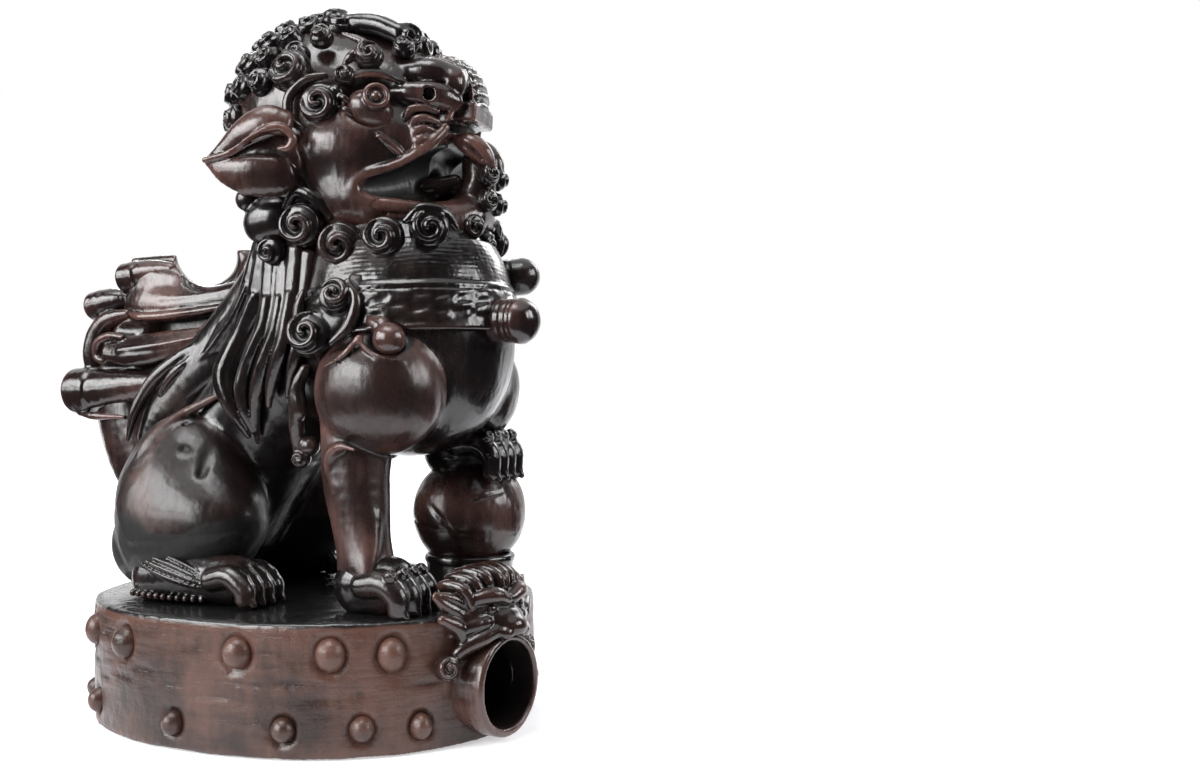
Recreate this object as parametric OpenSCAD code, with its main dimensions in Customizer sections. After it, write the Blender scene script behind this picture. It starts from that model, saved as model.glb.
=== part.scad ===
// Carved guardian lion sitting on a studded drum base, one of a facing pair.
// The lion looks along +X, its left side is +Y, and the drum stands on Z = 0.

/* [Base drum] */
// Length of the drum, front to back
base_len = 125; // [115:1:140]
// Width of the drum, side to side
base_w = 106; // [98:1:120]
// Height of the drum
base_h = 34; // [32:1:40]
// Squareness of the drum's outline, where 2 is an ellipse
base_squareness = 2.19; // [2:0.05:2.6]

/* [Drum studs] */
// Diameter of the studs in the upper row
upper_stud_d = 7.8; // [6:0.2:9]
// Diameter of the studs in the lower row
lower_stud_d = 6; // [5:0.2:7]
// How far a stud stands proud of the drum
stud_proud = 3; // [2:0.1:3.4]
// Height of the upper row above the underside
upper_row_z = 26; // [24:0.5:27]
// Height of the lower row above the underside
lower_row_z = 7.5; // [6:0.5:10]
// Diameter of the peg behind a stud
stud_peg_d = 3; // [2:0.2:4]
// Length of the peg behind a stud
stud_peg_len = 6; // [4:0.5:9]

/* [Ring and mask on the drum's front] */
// Place of the ring and mask round the drum, in degrees towards the lion's right
mask_turn = 11; // [0:1:15]
// Direction in which the ring and mask face, in degrees towards the lion's right
mask_facing = 9; // [0:1:15]
// Outer diameter of the ring
ring_d = 27; // [24:0.5:28]
// Wall of the ring
ring_wall = 2.2; // [1.6:0.1:3.5]
// Height of the ring's middle above the underside
ring_z = 14.8; // [14.5:0.1:16]
// How far the ring stands proud of the drum
ring_proud = 6.5; // [4:0.5:9]
// Depth of the hollow behind the ring, from the drum's front
hollow_depth = 15; // [12:0.5:20]
// Depth that the ring is let into the drum
ring_seat = 4; // [3:0.5:6]
// Width of the beast mask
mask_w = 42; // [36:1:44]
// Height of the beast mask
mask_h = 26; // [22:1:28]
// How far the mask's face stands proud of the drum
mask_proud = 11; // [9:0.5:12]

/* [Body] */
// Length of the body, rump to chest
body_len = 120; // [114:1:124]
// Width of the body at the ribs
body_w = 56; // [52:1:60]
// Height of the shoulders' top above the drum
body_h = 100; // [94:1:106]

/* [Ball] */
// Diameter of the ball under the left paw
ball_d = 31; // [29:0.5:33]
// Diameter of the stand under the ball
stand_d = 24; // [20:0.5:28]
// Height of the stand under the ball
stand_h = 8; // [7:0.5:10]
// Depth of the dish that the ball sits in
dish_depth = 2; // [1.5:0.25:3]

/* [Strap and bells] */
// Width of the strap round the chest
strap_w = 13; // [9:0.5:16]
// Thickness of the strap
strap_t = 2.6; // [2:0.1:4]
// Diameter of the round bells
bell_d = 11.5; // [10:0.5:13]
// Length of the long bell on the chest, without its round end
long_bell_len = 9; // [7:0.5:11]

/* [Tail] */
// Reach of the tail behind the rump
tail_len = 44; // [40:1:48]
// Width of the tail
tail_w = 30; // [26:1:34]
// Height of the tail
tail_h = 92; // [86:1:98]

/* [Head] */
// Length of the head, nape to nose
head_len = 80; // [76:1:84]
// Width of the head
head_w = 60; // [57:1:64]
// Height of the head
head_h = 70; // [67:1:73]
// Turn of the head towards the lion's left
head_turn = 10; // [0:1:15]
// Diameter of an eyeball
eye_d = 9.6; // [8.6:0.2:11]
// Thickness of an ear
ear_t = 6; // [5:0.5:8]

/* [Dowels] */
// Diameter of the dowels that hold the body on the drum and the head on the neck
dowel_d = 8; // [6:0.5:10]
// Length of a dowel
dowel_len = 26; // [20:1:30]
// Clearance all round a dowel or a stud's peg
glue_gap = 0.15; // [0.1:0.05:0.3]

/* [Hidden] */

// Facets round a carved form, a form of the head, a curl or toe, a turned piece,
// and the seat of a turned piece in a carved one
form_fn = 12;
head_fn = 10;
curl_fn = 8;
crown_fn = 8;
turned_fn = 48;
seat_fn = 24;
// Corners of the drum's outline
drum_points = 96;
// Cuts run this far past what they cut
overrun = 1;
// Everything below the drum's top is cut from the figure with a block this wide
clear_span = base_len;

wood = "#3b1f17";
dark_wood = "#2a1512";
worn_wood = "#5a3021";

// Angles of the studs round the drum, from +X towards the lion's left
upper_stud_turns = [-136, -113, -81, -58.5, -42.8, 42.8, 62, 86, 112, 136, 158, 180, -158];
lower_stud_turns = [-131, -96, -70, -50.6, -34.7, 34.7, 54, 76, 100, 124, 146, 168, -170, -150];

function power(value, exponent) = sign(value) * pow(abs(value), exponent);

// A point of the drum's outline, and the direction in which the outline faces there
function rim_point(turn) = [
    base_len / 2 * power(cos(turn), 2 / base_squareness),
    base_w / 2 * power(sin(turn), 2 / base_squareness)
];
function rim_facing(turn) = let (p = rim_point(turn)) atan2(
    power(p[1] / base_w, base_squareness - 1) / base_w,
    power(p[0] / base_len, base_squareness - 1) / base_len
);

// Body rows are [x, y, z, radius] as shares of the body's length, width, height and width.
// A row with a negative y lies on the lion's right.
// The balls that a row stands for stretch with the sizes of the form they belong to, and at
// these widths, as shares of the length, width and height, they come out round.
body_round_share = [0.4667, 1, 0.56];
tail_round_share = [0.6818, 1, 0.3261];
head_round_share = [0.75, 1, 0.8571];
mask_round_share = [3.8182, 1, 1.6154];

rump_share = [-0.30, 0, 0.25, 0.42];
loin_share = [-0.14, 0, 0.52, 0.39];
ribs_share = [0.05, 0, 0.68, 0.44];
low_chest_share = [0.28, 0, 0.65, 0.48];
high_chest_share = [0.25, 0, 0.82, 0.48];
nape_share = [0.03, 0, 0.98, 0.37];
throat_share = [0.15, 0, 1.00, 0.39];

haunch_shares = [[-0.34, -0.30, 0.14, 0.27], [-0.245, -0.36, 0.31, 0.37], [-0.11, -0.48, 0.19, 0.20]];
heel_shares = [[-0.25, -0.53, 0.06, 0.14], [-0.05, -0.55, 0.06, 0.12]];
hind_toe_shares = [[-0.06, 0, 0.06, 0.06], [0.03, 0, 0.045, 0.058]];
hind_toe_y_shares = [-0.44, -0.515, -0.59, -0.665];
left_foot_back_share = 0.12;

shoulder_shares = [[0.285, -0.39, 0.575, 0.32], [0.265, -0.42, 0.46, 0.22]];
column_shares = [[0.265, -0.42, 0.46, 0.19], [0.275, -0.455, 0.26, 0.16], [0.285, -0.465, 0.09, 0.14]];
paw_shares = [[0.275, -0.465, 0.07, 0.15], [0.345, -0.465, 0.06, 0.13]];
toe_shares = [[0.34, 0, 0.07, 0.07], [0.405, 0, 0.045, 0.065]];
toe_y_shares = [-0.33, -0.42, -0.51, -0.60];

// The left paw lies on the ball, so its heights are taken from the ball's top
ball_top_share = (stand_h - dish_depth + ball_d) / body_h;
left_shoulder_shares = [
    [0.30, 0.36, 0.58, 0.29], [0.305, 0.38, ball_top_share + 0.09, 0.17],
    [0.33, 0.37, ball_top_share + 0.03, 0.14]
];
left_paw_shares = [
    [0.33, 0.37, ball_top_share + 0.03, 0.12], [0.37, 0.37, ball_top_share + 0.02, 0.12]
];
left_toe_shares = [
    [0.37, 0, ball_top_share + 0.035, 0.065], [0.425, 0, ball_top_share - 0.01, 0.062]
];
left_toe_y_shares = [0.24, 0.33, 0.42, 0.51];

strap_share = [0.24, 0, 0.75];
strap_reach_share = 0.29;
strap_tilt = 10;
right_bell_share = [0.345, -0.53, 0.72];
left_bell_share = [0.415, 0.42, 0.90];
front_bell_share = [0.43, -0.06, 0.76];

lock_shares = [
    [[-0.02, -0.34, 0.96, 0.09], [-0.11, -0.38, 0.82, 0.09], [-0.23, -0.38, 0.66, 0.09],
        [-0.32, -0.37, 0.53, 0.07], [-0.375, -0.33, 0.46, 0.045]],
    [[0.03, -0.38, 0.93, 0.09], [-0.04, -0.43, 0.74, 0.09], [-0.14, -0.44, 0.58, 0.08],
        [-0.26, -0.50, 0.49, 0.05]],
    [[0.075, -0.40, 0.91, 0.08], [0.02, -0.46, 0.73, 0.08], [-0.025, -0.47, 0.60, 0.07],
        [-0.035, -0.44, 0.47, 0.045]],
    [[0.11, -0.42, 0.90, 0.08], [0.075, -0.48, 0.73, 0.08], [0.065, -0.46, 0.55, 0.075],
        [0.065, -0.38, 0.37, 0.05]]
];
back_lock_shares = [
    [[-0.11, -0.10, 0.98, 0.11], [-0.17, -0.14, 0.82, 0.11], [-0.26, -0.14, 0.66, 0.09]],
    [[-0.12, 0.10, 0.98, 0.11], [-0.18, 0.14, 0.82, 0.11], [-0.27, 0.14, 0.66, 0.09]],
    [[-0.13, 0, 1.00, 0.10], [-0.20, 0, 0.84, 0.10], [-0.29, 0, 0.68, 0.09]]
];
body_curl_shares = [
    [0.25, -0.52, 0.775, 0.09], [0.225, -0.58, 0.70, 0.10],
    [0.10, -0.50, 0.53, 0.07], [0.098, -0.42, 0.40, 0.06]
];

// Tail rows are shares of the tail's length, width, height and width, from the tail's root
tail_root_share = [-0.38, 0, 0.08];
tail_shares = [
    [-0.10, 0, 0.08, 0.30], [-0.38, 0, 0.28, 0.38], [-0.42, 0, 0.50, 0.42],
    [-0.18, 0, 0.68, 0.38], [0.20, 0, 0.80, 0.30]
];
tail_rib_share = 0.7;
scroll_shares = [
    [[0.10, -0.26, 0.87, 0.17], [-0.48, -0.26, 0.92, 0.17]],
    [[-0.10, -0.22, 0.77, 0.15], [-0.68, -0.22, 0.81, 0.15]],
    [[0.12, -0.38, 0.70, 0.13], [-0.34, -0.38, 0.70, 0.14]],
    [[-0.08, -0.34, 0.54, 0.18], [-0.70, -0.34, 0.53, 0.20]]
];

// Head rows are shares of the head's length, width, height and width, from the skull's middle
neck_top_share = [0.10, 0, 1.00];
head_lift_share = 0.443;
skull_shares = [[-0.07, 0, 0.04, 0.43], [0.05, 0, 0.03, 0.47]];
occiput_shares = [[-0.17, 0, -0.20, 0.33], [0.02, 0, -0.25, 0.36]];
cheek_shares = [[0.08, -0.27, -0.14, 0.22], [0.24, -0.18, -0.06, 0.17]];
brow_shares = [[0.10, -0.30, 0.17, 0.14], [0.23, -0.20, 0.22, 0.13]];
muzzle_shares = [[0.18, -0.06, 0.07, 0.20], [0.28, -0.08, 0.05, 0.17]];
nose_share = [0.335, 0, 0.10, 0.20];
nose_w_share = 0.22;
nostril_shares = [[0.29, -0.19, 0.16, 0.07], [0.40, -0.16, 0.15, 0.065], [0.33, -0.21, 0.08, 0.075]];
lip_shares = [[0.22, -0.20, -0.06, 0.10], [0.36, -0.10, 0.03, 0.06], [0.45, -0.08, 0.03, 0.045]];
jaw_shares = [
    [0.12, -0.25, -0.39, 0.14], [0.25, -0.22, -0.41, 0.12],
    [0.42, -0.08, -0.35, 0.13], [0.46, -0.05, -0.18, 0.08]
];
tongue_shares = [[0.10, 0, -0.33, 0.12], [0.26, 0, -0.29, 0.10], [0.37, 0, -0.22, 0.07]];
ear_shares = [[-0.04, -0.49, -0.09, 0.12], [-0.18, -0.51, -0.14, 0.13], [-0.36, -0.50, -0.18, 0.035]];
eye_share = [0.195, -0.40, 0.06];

brow_curl_shares = [
    [0.04, -0.46, 0.02, 0.09], [0.11, -0.44, 0.14, 0.065], [0.20, -0.36, 0.22, 0.065],
    [-0.09, -0.42, 0.16, 0.09], [0.22, -0.16, 0.34, 0.08], [0.10, -0.27, 0.35, 0.08]
];
jaw_curl_shares = [
    [-0.29, -0.34, -0.44, 0.08], [-0.06, -0.43, -0.42, 0.09], [0.085, -0.40, -0.49, 0.10],
    [0.24, -0.34, -0.47, 0.08], [0.375, -0.23, -0.44, 0.085], [0.46, -0.12, -0.42, 0.075],
    [0.51, -0.07, -0.30, 0.07], [0.52, -0.06, -0.17, 0.06]
];
// Each row of crown curls is [elevation, first turn, last turn, number of curls]
crown_rows = [
    [-20, 130, 230, 6], [0, 112, 248, 8], [20, 94, 266, 9],
    [40, 76, 284, 9], [60, 66, 294, 7], [80, 120, 240, 2]
];
crown_curl_share = 0.085;
forelock_shares = [[-0.02, 0, 0.38, 0.08], [0.09, 0, 0.385, 0.08], [0.22, 0, 0.335, 0.075]];
forelock_y_shares = [-0.14, 0, 0.14];

// Mask rows are shares of the mask's proudness, width, height and width, from its lower middle
mask_foot_share = 0.66;
mask_face_shares = [[0.02, 0, 0.35, 0.24], [0.36, 0, 0.40, 0.18]];
mask_snout_shares = [[0.30, 0, 0.34, 0.13], [0.62, 0, 0.30, 0.11]];
mask_brow_shares = [[0.36, -0.05, 0.62, 0.09], [0.16, -0.24, 0.58, 0.08]];
mask_ear_shares = [[0.05, -0.28, 0.52, 0.09], [-0.02, -0.46, 0.66, 0.04]];
mask_cheek_shares = [[0.30, -0.16, 0.26, 0.11], [0.05, -0.32, 0.22, 0.10]];
mask_curl_shares = [[0.02, -0.38, 0.02, 0.10], [0.04, -0.34, 0.30, 0.07]];
mask_mane_shares = [
    [[0.20, -0.03, 0.78, 0.07], [-0.60, -0.05, 0.86, 0.06]],
    [[0.16, -0.13, 0.76, 0.07], [-0.60, -0.17, 0.85, 0.06]],
    [[0.10, -0.23, 0.70, 0.07], [-0.50, -0.30, 0.82, 0.06]]
];

mask_front = rim_point(-mask_turn);
ball_share = [0.315, 0.40];
ball_place = [
    ball_share[0] * body_len,
    ball_share[1] * body_w,
    base_h + stand_h - dish_depth + ball_d / 2
];
body_peg_share = [-0.31, 0.24, 0];
neck_peg_share = [0.08, 0, 1.13];

function on_body(row) = [row[0] * body_len, row[1] * body_w, base_h + row[2] * body_h];
function on_head(row) = [row[0] * head_len, row[1] * head_w, row[2] * head_h];
function at_y(row, y_share) = [row[0], y_share, row[2], row[3]];

module left_side() {
    mirror([0, 1, 0])
        children();
}

module both_sides() {
    children();
    left_side()
        children();
}

module in_head() {
    translate(on_body(neck_top_share) + [0, 0, head_lift_share * head_h])
        rotate([0, 0, head_turn])
            children();
}

// The mask and ring stand on the drum's front, facing outwards
module at_mask() {
    translate([mask_front[0], mask_front[1], 0])
        rotate([0, 0, -mask_facing])
            children();
}

// Spaces in which a form is drawn in shares of its own sizes

module body_space() {
    translate([0, 0, base_h])
        scale([body_len, body_w, body_h])
            children();
}

module tail_space() {
    translate(on_body(tail_root_share))
        scale([tail_len, tail_w, tail_h])
            children();
}

module head_space() {
    scale([head_len, head_w, head_h])
        children();
}

module mask_space() {
    translate([0, 0, base_h * mask_foot_share])
        scale([mask_proud, mask_w, mask_h])
            children();
}

// A ball of real size at a place
module ball_at(place, radius, facets) {
    translate(place)
        sphere(r = radius, $fn = facets);
}

// The ball of one row
module row_ball(row, round_share, facets, grow_share = 0) {
    translate([row[0], row[1], row[2]])
        scale(round_share)
            sphere(r = row[3] + grow_share, $fn = facets);
}

// A form through the balls of its rows
module chain(rows, round_share, facets, grow_share = 0) {
    for (i = [0 : len(rows) - 2]) {
        hull() {
            row_ball(rows[i], round_share, facets, grow_share);
            row_ball(rows[i + 1], round_share, facets, grow_share);
        }
    }
}

module body_chain(rows, grow = 0, facets = form_fn) {
    body_space()
        chain(rows, body_round_share, facets, grow / body_w);
}

module tail_chain(rows, facets = form_fn) {
    tail_space()
        chain(rows, tail_round_share, facets);
}

module head_chain(rows, facets = form_fn) {
    head_space()
        chain(rows, head_round_share, facets);
}

module mask_chain(rows) {
    mask_space()
        chain(rows, mask_round_share, curl_fn);
}

module below_drum_top() {
    translate([-clear_span, -clear_span, base_h - clear_span])
        cube([2 * clear_span, 2 * clear_span, clear_span]);
}

// Forms before they are cut to seat on each other

module drum_form() {
    linear_extrude(height = base_h)
        polygon([for (i = [0 : drum_points - 1]) rim_point(360 * i / drum_points)]);
}

module stud_places(turns, height) {
    for (turn = turns) {
        translate([rim_point(turn)[0], rim_point(turn)[1], height])
            rotate([0, 90, rim_facing(turn)])
                children();
    }
}

module stud_bores(turns, height) {
    stud_places(turns, height)
        translate([0, 0, -stud_peg_len - glue_gap])
            cylinder(h = stud_peg_len + glue_gap + overrun, d = stud_peg_d + 2 * glue_gap, $fn = turned_fn);
}

// A domed stud with its peg, turned in one piece
module stud(dome_d) {
    cap_r = (pow(dome_d / 2, 2) + pow(stud_proud, 2)) / (2 * stud_proud);
    union() {
        intersection() {
            translate([0, 0, stud_proud - cap_r])
                sphere(r = cap_r, $fn = turned_fn);
            cylinder(h = stud_proud + overrun, d = dome_d, $fn = turned_fn);
        }
        translate([0, 0, -stud_peg_len])
            cylinder(h = stud_peg_len, d = stud_peg_d, $fn = turned_fn);
    }
}

// A cylinder along the ring's axis, from one distance off the drum's front to another
module ring_rod(diameter, start, end) {
    at_mask()
        translate([start, 0, ring_z])
            rotate([0, 90, 0])
                cylinder(h = end - start, d = diameter, $fn = turned_fn);
}

module peg_places() {
    for (side = [-1, 1]) {
        translate([body_peg_share[0] * body_len, side * body_peg_share[1] * body_w, base_h])
            children();
    }
}

module dowel(gap, facets = turned_fn) {
    cylinder(h = dowel_len + 2 * gap, d = dowel_d + 2 * gap, center = true, $fn = facets);
}

module neck_dowel(gap, facets = turned_fn) {
    translate(on_body(neck_peg_share))
        dowel(gap, facets);
}

module torso_form(grow = 0) {
    body_chain([rump_share, loin_share, ribs_share, low_chest_share, high_chest_share], grow);
    body_chain([ribs_share, nape_share, throat_share, high_chest_share], grow);
    body_chain([ribs_share, high_chest_share], grow);
}

module haunch_form() {
    body_chain(haunch_shares);
}

module hind_foot_form() {
    body_chain(heel_shares);
    for (y_share = hind_toe_y_shares) {
        body_chain([for (row = hind_toe_shares) at_y(row, y_share)], facets = curl_fn);
    }
}

module right_leg_form() {
    body_chain(shoulder_shares);
    body_chain(column_shares);
}

module left_leg_form() {
    body_chain(left_shoulder_shares);
}

module right_paw_form() {
    body_chain(paw_shares);
    for (y_share = toe_y_shares) {
        body_chain([for (row = toe_shares) at_y(row, y_share)], facets = curl_fn);
    }
}

module left_paw_form() {
    body_chain(left_paw_shares);
    for (y_share = left_toe_y_shares) {
        body_chain([for (row = left_toe_shares) at_y(row, y_share)], facets = curl_fn);
    }
}

module ball_form(facets = turned_fn) {
    ball_at(ball_place, ball_d / 2, facets);
}

module round_bell(place_share, facets = turned_fn) {
    ball_at(on_body(place_share), bell_d / 2, facets);
}

module long_bell(facets = turned_fn) {
    translate(on_body(front_bell_share))
        rotate([0, 90, 0]) {
            cylinder(h = long_bell_len, d = bell_d, $fn = facets);
            translate([0, 0, long_bell_len])
                sphere(d = bell_d, $fn = facets);
        }
}

// The seats of the bells in the pieces that carry them
module bell_seats() {
    round_bell(right_bell_share, seat_fn);
    round_bell(left_bell_share, seat_fn);
    long_bell(seat_fn);
}

// The tail's stem, with a thick rib out to each pair of scrolls
module tail_form() {
    tail_chain(tail_shares);
    tail_space()
        for (rows = scroll_shares) {
            hull()
                both_sides()
                    for (row = rows) {
                        row_ball(row, tail_rib_share * tail_round_share, curl_fn);
                    }
        }
}

module scroll_form() {
    for (rows = scroll_shares) {
        tail_chain(rows, curl_fn);
    }
}

module lock_form() {
    for (rows = lock_shares) {
        body_chain(rows, facets = curl_fn);
    }
}

module back_lock_form() {
    for (rows = back_lock_shares) {
        body_chain(rows, facets = curl_fn);
    }
}

module skull_form() {
    head_chain(skull_shares);
    head_chain(occiput_shares, head_fn);
    both_sides() {
        head_chain(cheek_shares, head_fn);
        head_chain(brow_shares, curl_fn);
        head_chain(muzzle_shares, head_fn);
        head_chain(nostril_shares, curl_fn);
        head_chain(lip_shares, curl_fn);
    }
    nose_form();
}

// The nose's ridged bridge stands like part of a wheel
module nose_form() {
    head_space()
        translate([nose_share[0], nose_share[1], nose_share[2]])
            scale(head_round_share)
                rotate([90, 0, 0])
                    cylinder(h = nose_w_share, r = nose_share[3], center = true, $fn = form_fn);
}

module jaw_form() {
    both_sides()
        head_chain(jaw_shares, head_fn);
    head_space()
        for (row = [jaw_shares[1], jaw_shares[2], jaw_shares[3]]) {
            hull()
                both_sides()
                    row_ball(row, head_round_share, head_fn);
        }
}

module tongue_form() {
    head_chain(tongue_shares, curl_fn);
}

// A leaf-shaped ear, as thick as its named size
module ear_form() {
    thickness_share = ear_t / (2 * ear_shares[1][3] * head_w);
    head_space()
        chain(ear_shares, [head_round_share[0], thickness_share, head_round_share[2]], form_fn);
}

module eye_form(facets = turned_fn) {
    ball_at(on_head(eye_share), eye_d / 2, facets);
}

module crown_curl_form() {
    skull = skull_shares[0];
    head_space()
        for (row = crown_rows) {
            for (i = [0 : row[3] - 1]) {
                turn = row[1] + (row[2] - row[1]) * i / max(row[3] - 1, 1);
                out = [cos(row[0]) * cos(turn), cos(row[0]) * sin(turn), sin(row[0])];
                place = [for (k = [0 : 2]) skull[k] + skull[3] * head_round_share[k] * out[k]];
                row_ball(concat(place, crown_curl_share), head_round_share, crown_fn);
            }
        }
    for (y_share = forelock_y_shares) {
        head_chain([for (row = forelock_shares) at_y(row, y_share)], curl_fn);
    }
}

module head_curls(rows) {
    both_sides()
        head_space()
            for (row = rows) {
                row_ball(row, head_round_share, curl_fn);
            }
}

module brow_curl_form() {
    head_curls(brow_curl_shares);
}

module jaw_curl_form() {
    head_curls(jaw_curl_shares);
}

// Curls on the shoulders and behind the front legs
module body_curl_form() {
    both_sides()
        body_space()
            for (row = body_curl_shares) {
                row_ball(row, body_round_share, curl_fn);
            }
}

module legs_form() {
    right_leg_form();
    left_leg_form();
}

module haunches_form() {
    both_sides()
        haunch_form();
}

module head_block_form() {
    in_head() {
        skull_form();
        jaw_form();
    }
}

// The pieces, each cut where the pieces that carry it stand

module base_drum() {
    color(worn_wood)
        difference() {
            drum_form();
            stud_bores(upper_stud_turns, upper_row_z);
            stud_bores(lower_stud_turns, lower_row_z);
            ring_rod(ring_d + 2 * glue_gap, -ring_seat, ring_proud + overrun);
            ring_rod(ring_d - 2 * ring_wall, -hollow_depth, ring_proud + overrun);
            peg_places()
                dowel(glue_gap);
        }
}

module upper_studs() {
    color(worn_wood)
        stud_places(upper_stud_turns, upper_row_z)
            stud(upper_stud_d);
}

module lower_studs() {
    color(worn_wood)
        stud_places(lower_stud_turns, lower_row_z)
            stud(lower_stud_d);
}

module drum_mask() {
    color(wood)
        difference() {
            at_mask()
                both_sides() {
                    mask_chain(mask_face_shares);
                    mask_chain(mask_snout_shares);
                    mask_chain(mask_brow_shares);
                    mask_chain(mask_ear_shares);
                    mask_chain(mask_cheek_shares);
                    mask_chain(mask_curl_shares);
                    for (rows = mask_mane_shares) {
                        mask_chain(rows);
                    }
                }
            drum_form();
            ring_rod(ring_d + 2 * glue_gap, -ring_seat, ring_proud + mask_proud);
        }
}

module drum_ring() {
    color(wood)
        difference() {
            ring_rod(ring_d, -ring_seat, ring_proud);
            ring_rod(ring_d - 2 * ring_wall, -ring_seat - overrun, ring_proud + overrun);
        }
}

module body_pegs() {
    color(worn_wood)
        peg_places()
            dowel(0);
}

module torso() {
    color(wood)
        difference() {
            torso_form();
            below_drum_top();
            bell_seats();
            neck_dowel(glue_gap, seat_fn);
            peg_places()
                dowel(glue_gap, seat_fn);
        }
}

module cut_haunch() {
    difference() {
        children();
        torso_form();
        below_drum_top();
        peg_places()
            dowel(glue_gap, seat_fn);
    }
}

module right_haunch() {
    color(wood)
        cut_haunch()
            haunch_form();
}

module left_haunch() {
    color(wood)
        cut_haunch()
            left_side()
                haunch_form();
}

module cut_hind_foot() {
    difference() {
        children();
        torso_form();
        haunches_form();
        below_drum_top();
    }
}

module right_hind_foot() {
    color(dark_wood)
        cut_hind_foot()
            hind_foot_form();
}

module left_hind_foot() {
    color(dark_wood)
        cut_hind_foot()
            translate([-left_foot_back_share * body_len, 0, 0])
                left_side()
                    hind_foot_form();
}

module right_front_leg() {
    color(wood)
        difference() {
            right_leg_form();
            torso_form();
            bell_seats();
            below_drum_top();
        }
}

module left_front_leg() {
    color(wood)
        difference() {
            left_leg_form();
            torso_form();
            ball_form(seat_fn);
        }
}

module right_front_paw() {
    color(dark_wood)
        difference() {
            right_paw_form();
            right_leg_form();
            below_drum_top();
        }
}

module left_front_paw() {
    color(dark_wood)
        difference() {
            left_paw_form();
            left_leg_form();
            torso_form();
            ball_form(seat_fn);
        }
}

module ball() {
    color(wood)
        ball_form();
}

module ball_stand() {
    color(dark_wood)
        difference() {
            translate([ball_place[0], ball_place[1], base_h])
                cylinder(h = stand_h, d = stand_d, $fn = turned_fn);
            ball_form();
        }
}

module chest_strap() {
    color(dark_wood)
        difference() {
            intersection() {
                torso_form(strap_t);
                translate(on_body(strap_share))
                    rotate([0, strap_tilt, 0])
                        cylinder(h = strap_w, r = strap_reach_share * body_len, $fn = turned_fn);
            }
            torso_form();
            legs_form();
            body_curl_form();
            bell_seats();
            both_sides()
                lock_form();
            back_lock_form();
            head_block_form();
            tail_form();
        }
}

module right_bell() {
    color(worn_wood)
        round_bell(right_bell_share);
}

module front_bell() {
    color(worn_wood)
        long_bell();
}

module left_bell() {
    color(worn_wood)
        round_bell(left_bell_share);
}

module tail_fan() {
    color(wood)
        difference() {
            tail_form();
            torso_form();
            haunches_form();
            below_drum_top();
        }
}

module cut_scrolls() {
    difference() {
        children();
        tail_form();
        torso_form();
        haunches_form();
    }
}

module right_tail_scrolls() {
    color(dark_wood)
        cut_scrolls()
            scroll_form();
}

module left_tail_scrolls() {
    color(dark_wood)
        cut_scrolls()
            left_side()
                scroll_form();
}

module cut_locks() {
    difference() {
        children();
        torso_form();
        haunches_form();
        legs_form();
        tail_form();
        both_sides()
            scroll_form();
        head_block_form();
    }
}

module right_mane_locks() {
    color(dark_wood)
        cut_locks()
            lock_form();
}

module left_mane_locks() {
    color(dark_wood)
        cut_locks()
            left_side()
                lock_form();
}

module back_mane_locks() {
    color(dark_wood)
        difference() {
            back_lock_form();
            torso_form();
            haunches_form();
            tail_form();
            both_sides() {
                scroll_form();
                lock_form();
            }
            head_block_form();
        }
}

module neck_peg() {
    color(worn_wood)
        neck_dowel(0);
}

module head() {
    color(wood)
        difference() {
            in_head()
                difference() {
                    skull_form();
                    both_sides()
                        eye_form(seat_fn);
                }
            torso_form();
            neck_dowel(glue_gap, seat_fn);
        }
}

module lower_jaw() {
    color(wood)
        difference() {
            in_head()
                difference() {
                    jaw_form();
                    skull_form();
                }
            torso_form();
        }
}

module tongue() {
    color(dark_wood)
        difference() {
            in_head()
                tongue_form();
            head_block_form();
            torso_form();
        }
}

module cut_ear() {
    difference() {
        in_head()
            children();
        head_block_form();
        torso_form();
    }
}

module right_ear() {
    color(wood)
        cut_ear()
            ear_form();
}

module left_ear() {
    color(wood)
        cut_ear()
            left_side()
                ear_form();
}

module right_eye() {
    color(worn_wood)
        in_head()
            eye_form();
}

module left_eye() {
    color(worn_wood)
        in_head()
            left_side()
                eye_form();
}

// What curls on the head seat on, in the head's own place
module under_curls() {
    skull_form();
    jaw_form();
    both_sides() {
        ear_form();
        eye_form(seat_fn);
    }
}

module crown_curls() {
    color(dark_wood)
        difference() {
            in_head()
                difference() {
                    crown_curl_form();
                    under_curls();
                    brow_curl_form();
                }
            torso_form();
            back_lock_form();
        }
}

module brow_curls() {
    color(dark_wood)
        in_head()
            difference() {
                brow_curl_form();
                under_curls();
            }
}

module jaw_curls() {
    color(dark_wood)
        difference() {
            in_head()
                difference() {
                    jaw_curl_form();
                    under_curls();
                }
            torso_form();
            both_sides()
                lock_form();
            bell_seats();
            legs_form();
        }
}

module shoulder_curls() {
    color(dark_wood)
        difference() {
            body_curl_form();
            torso_form();
            legs_form();
            bell_seats();
            both_sides()
                lock_form();
        }
}

base_drum();
upper_studs();
lower_studs();
drum_mask();
drum_ring();
body_pegs();
torso();
right_haunch();
left_haunch();
right_hind_foot();
left_hind_foot();
right_front_leg();
left_front_leg();
right_front_paw();
left_front_paw();
ball();
ball_stand();
chest_strap();
right_bell();
front_bell();
left_bell();
tail_fan();
right_tail_scrolls();
left_tail_scrolls();
right_mane_locks();
left_mane_locks();
back_mane_locks();
neck_peg();
head();
lower_jaw();
tongue();
right_ear();
left_ear();
right_eye();
left_eye();
crown_curls();
brow_curls();
jaw_curls();
shoulder_curls();
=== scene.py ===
"""Carved guardian lion on a studded drum base: the looks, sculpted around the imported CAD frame.

Every carved piece is worked in a block of clay: a grid of distances in millimetres from the
surface, to which rounded forms are added and from which grooves are cut, as a carver would. The
surface of the block then becomes the piece's mesh. The lion looks along +X, its left side is +Y.
"""

import copy
import math

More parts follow.
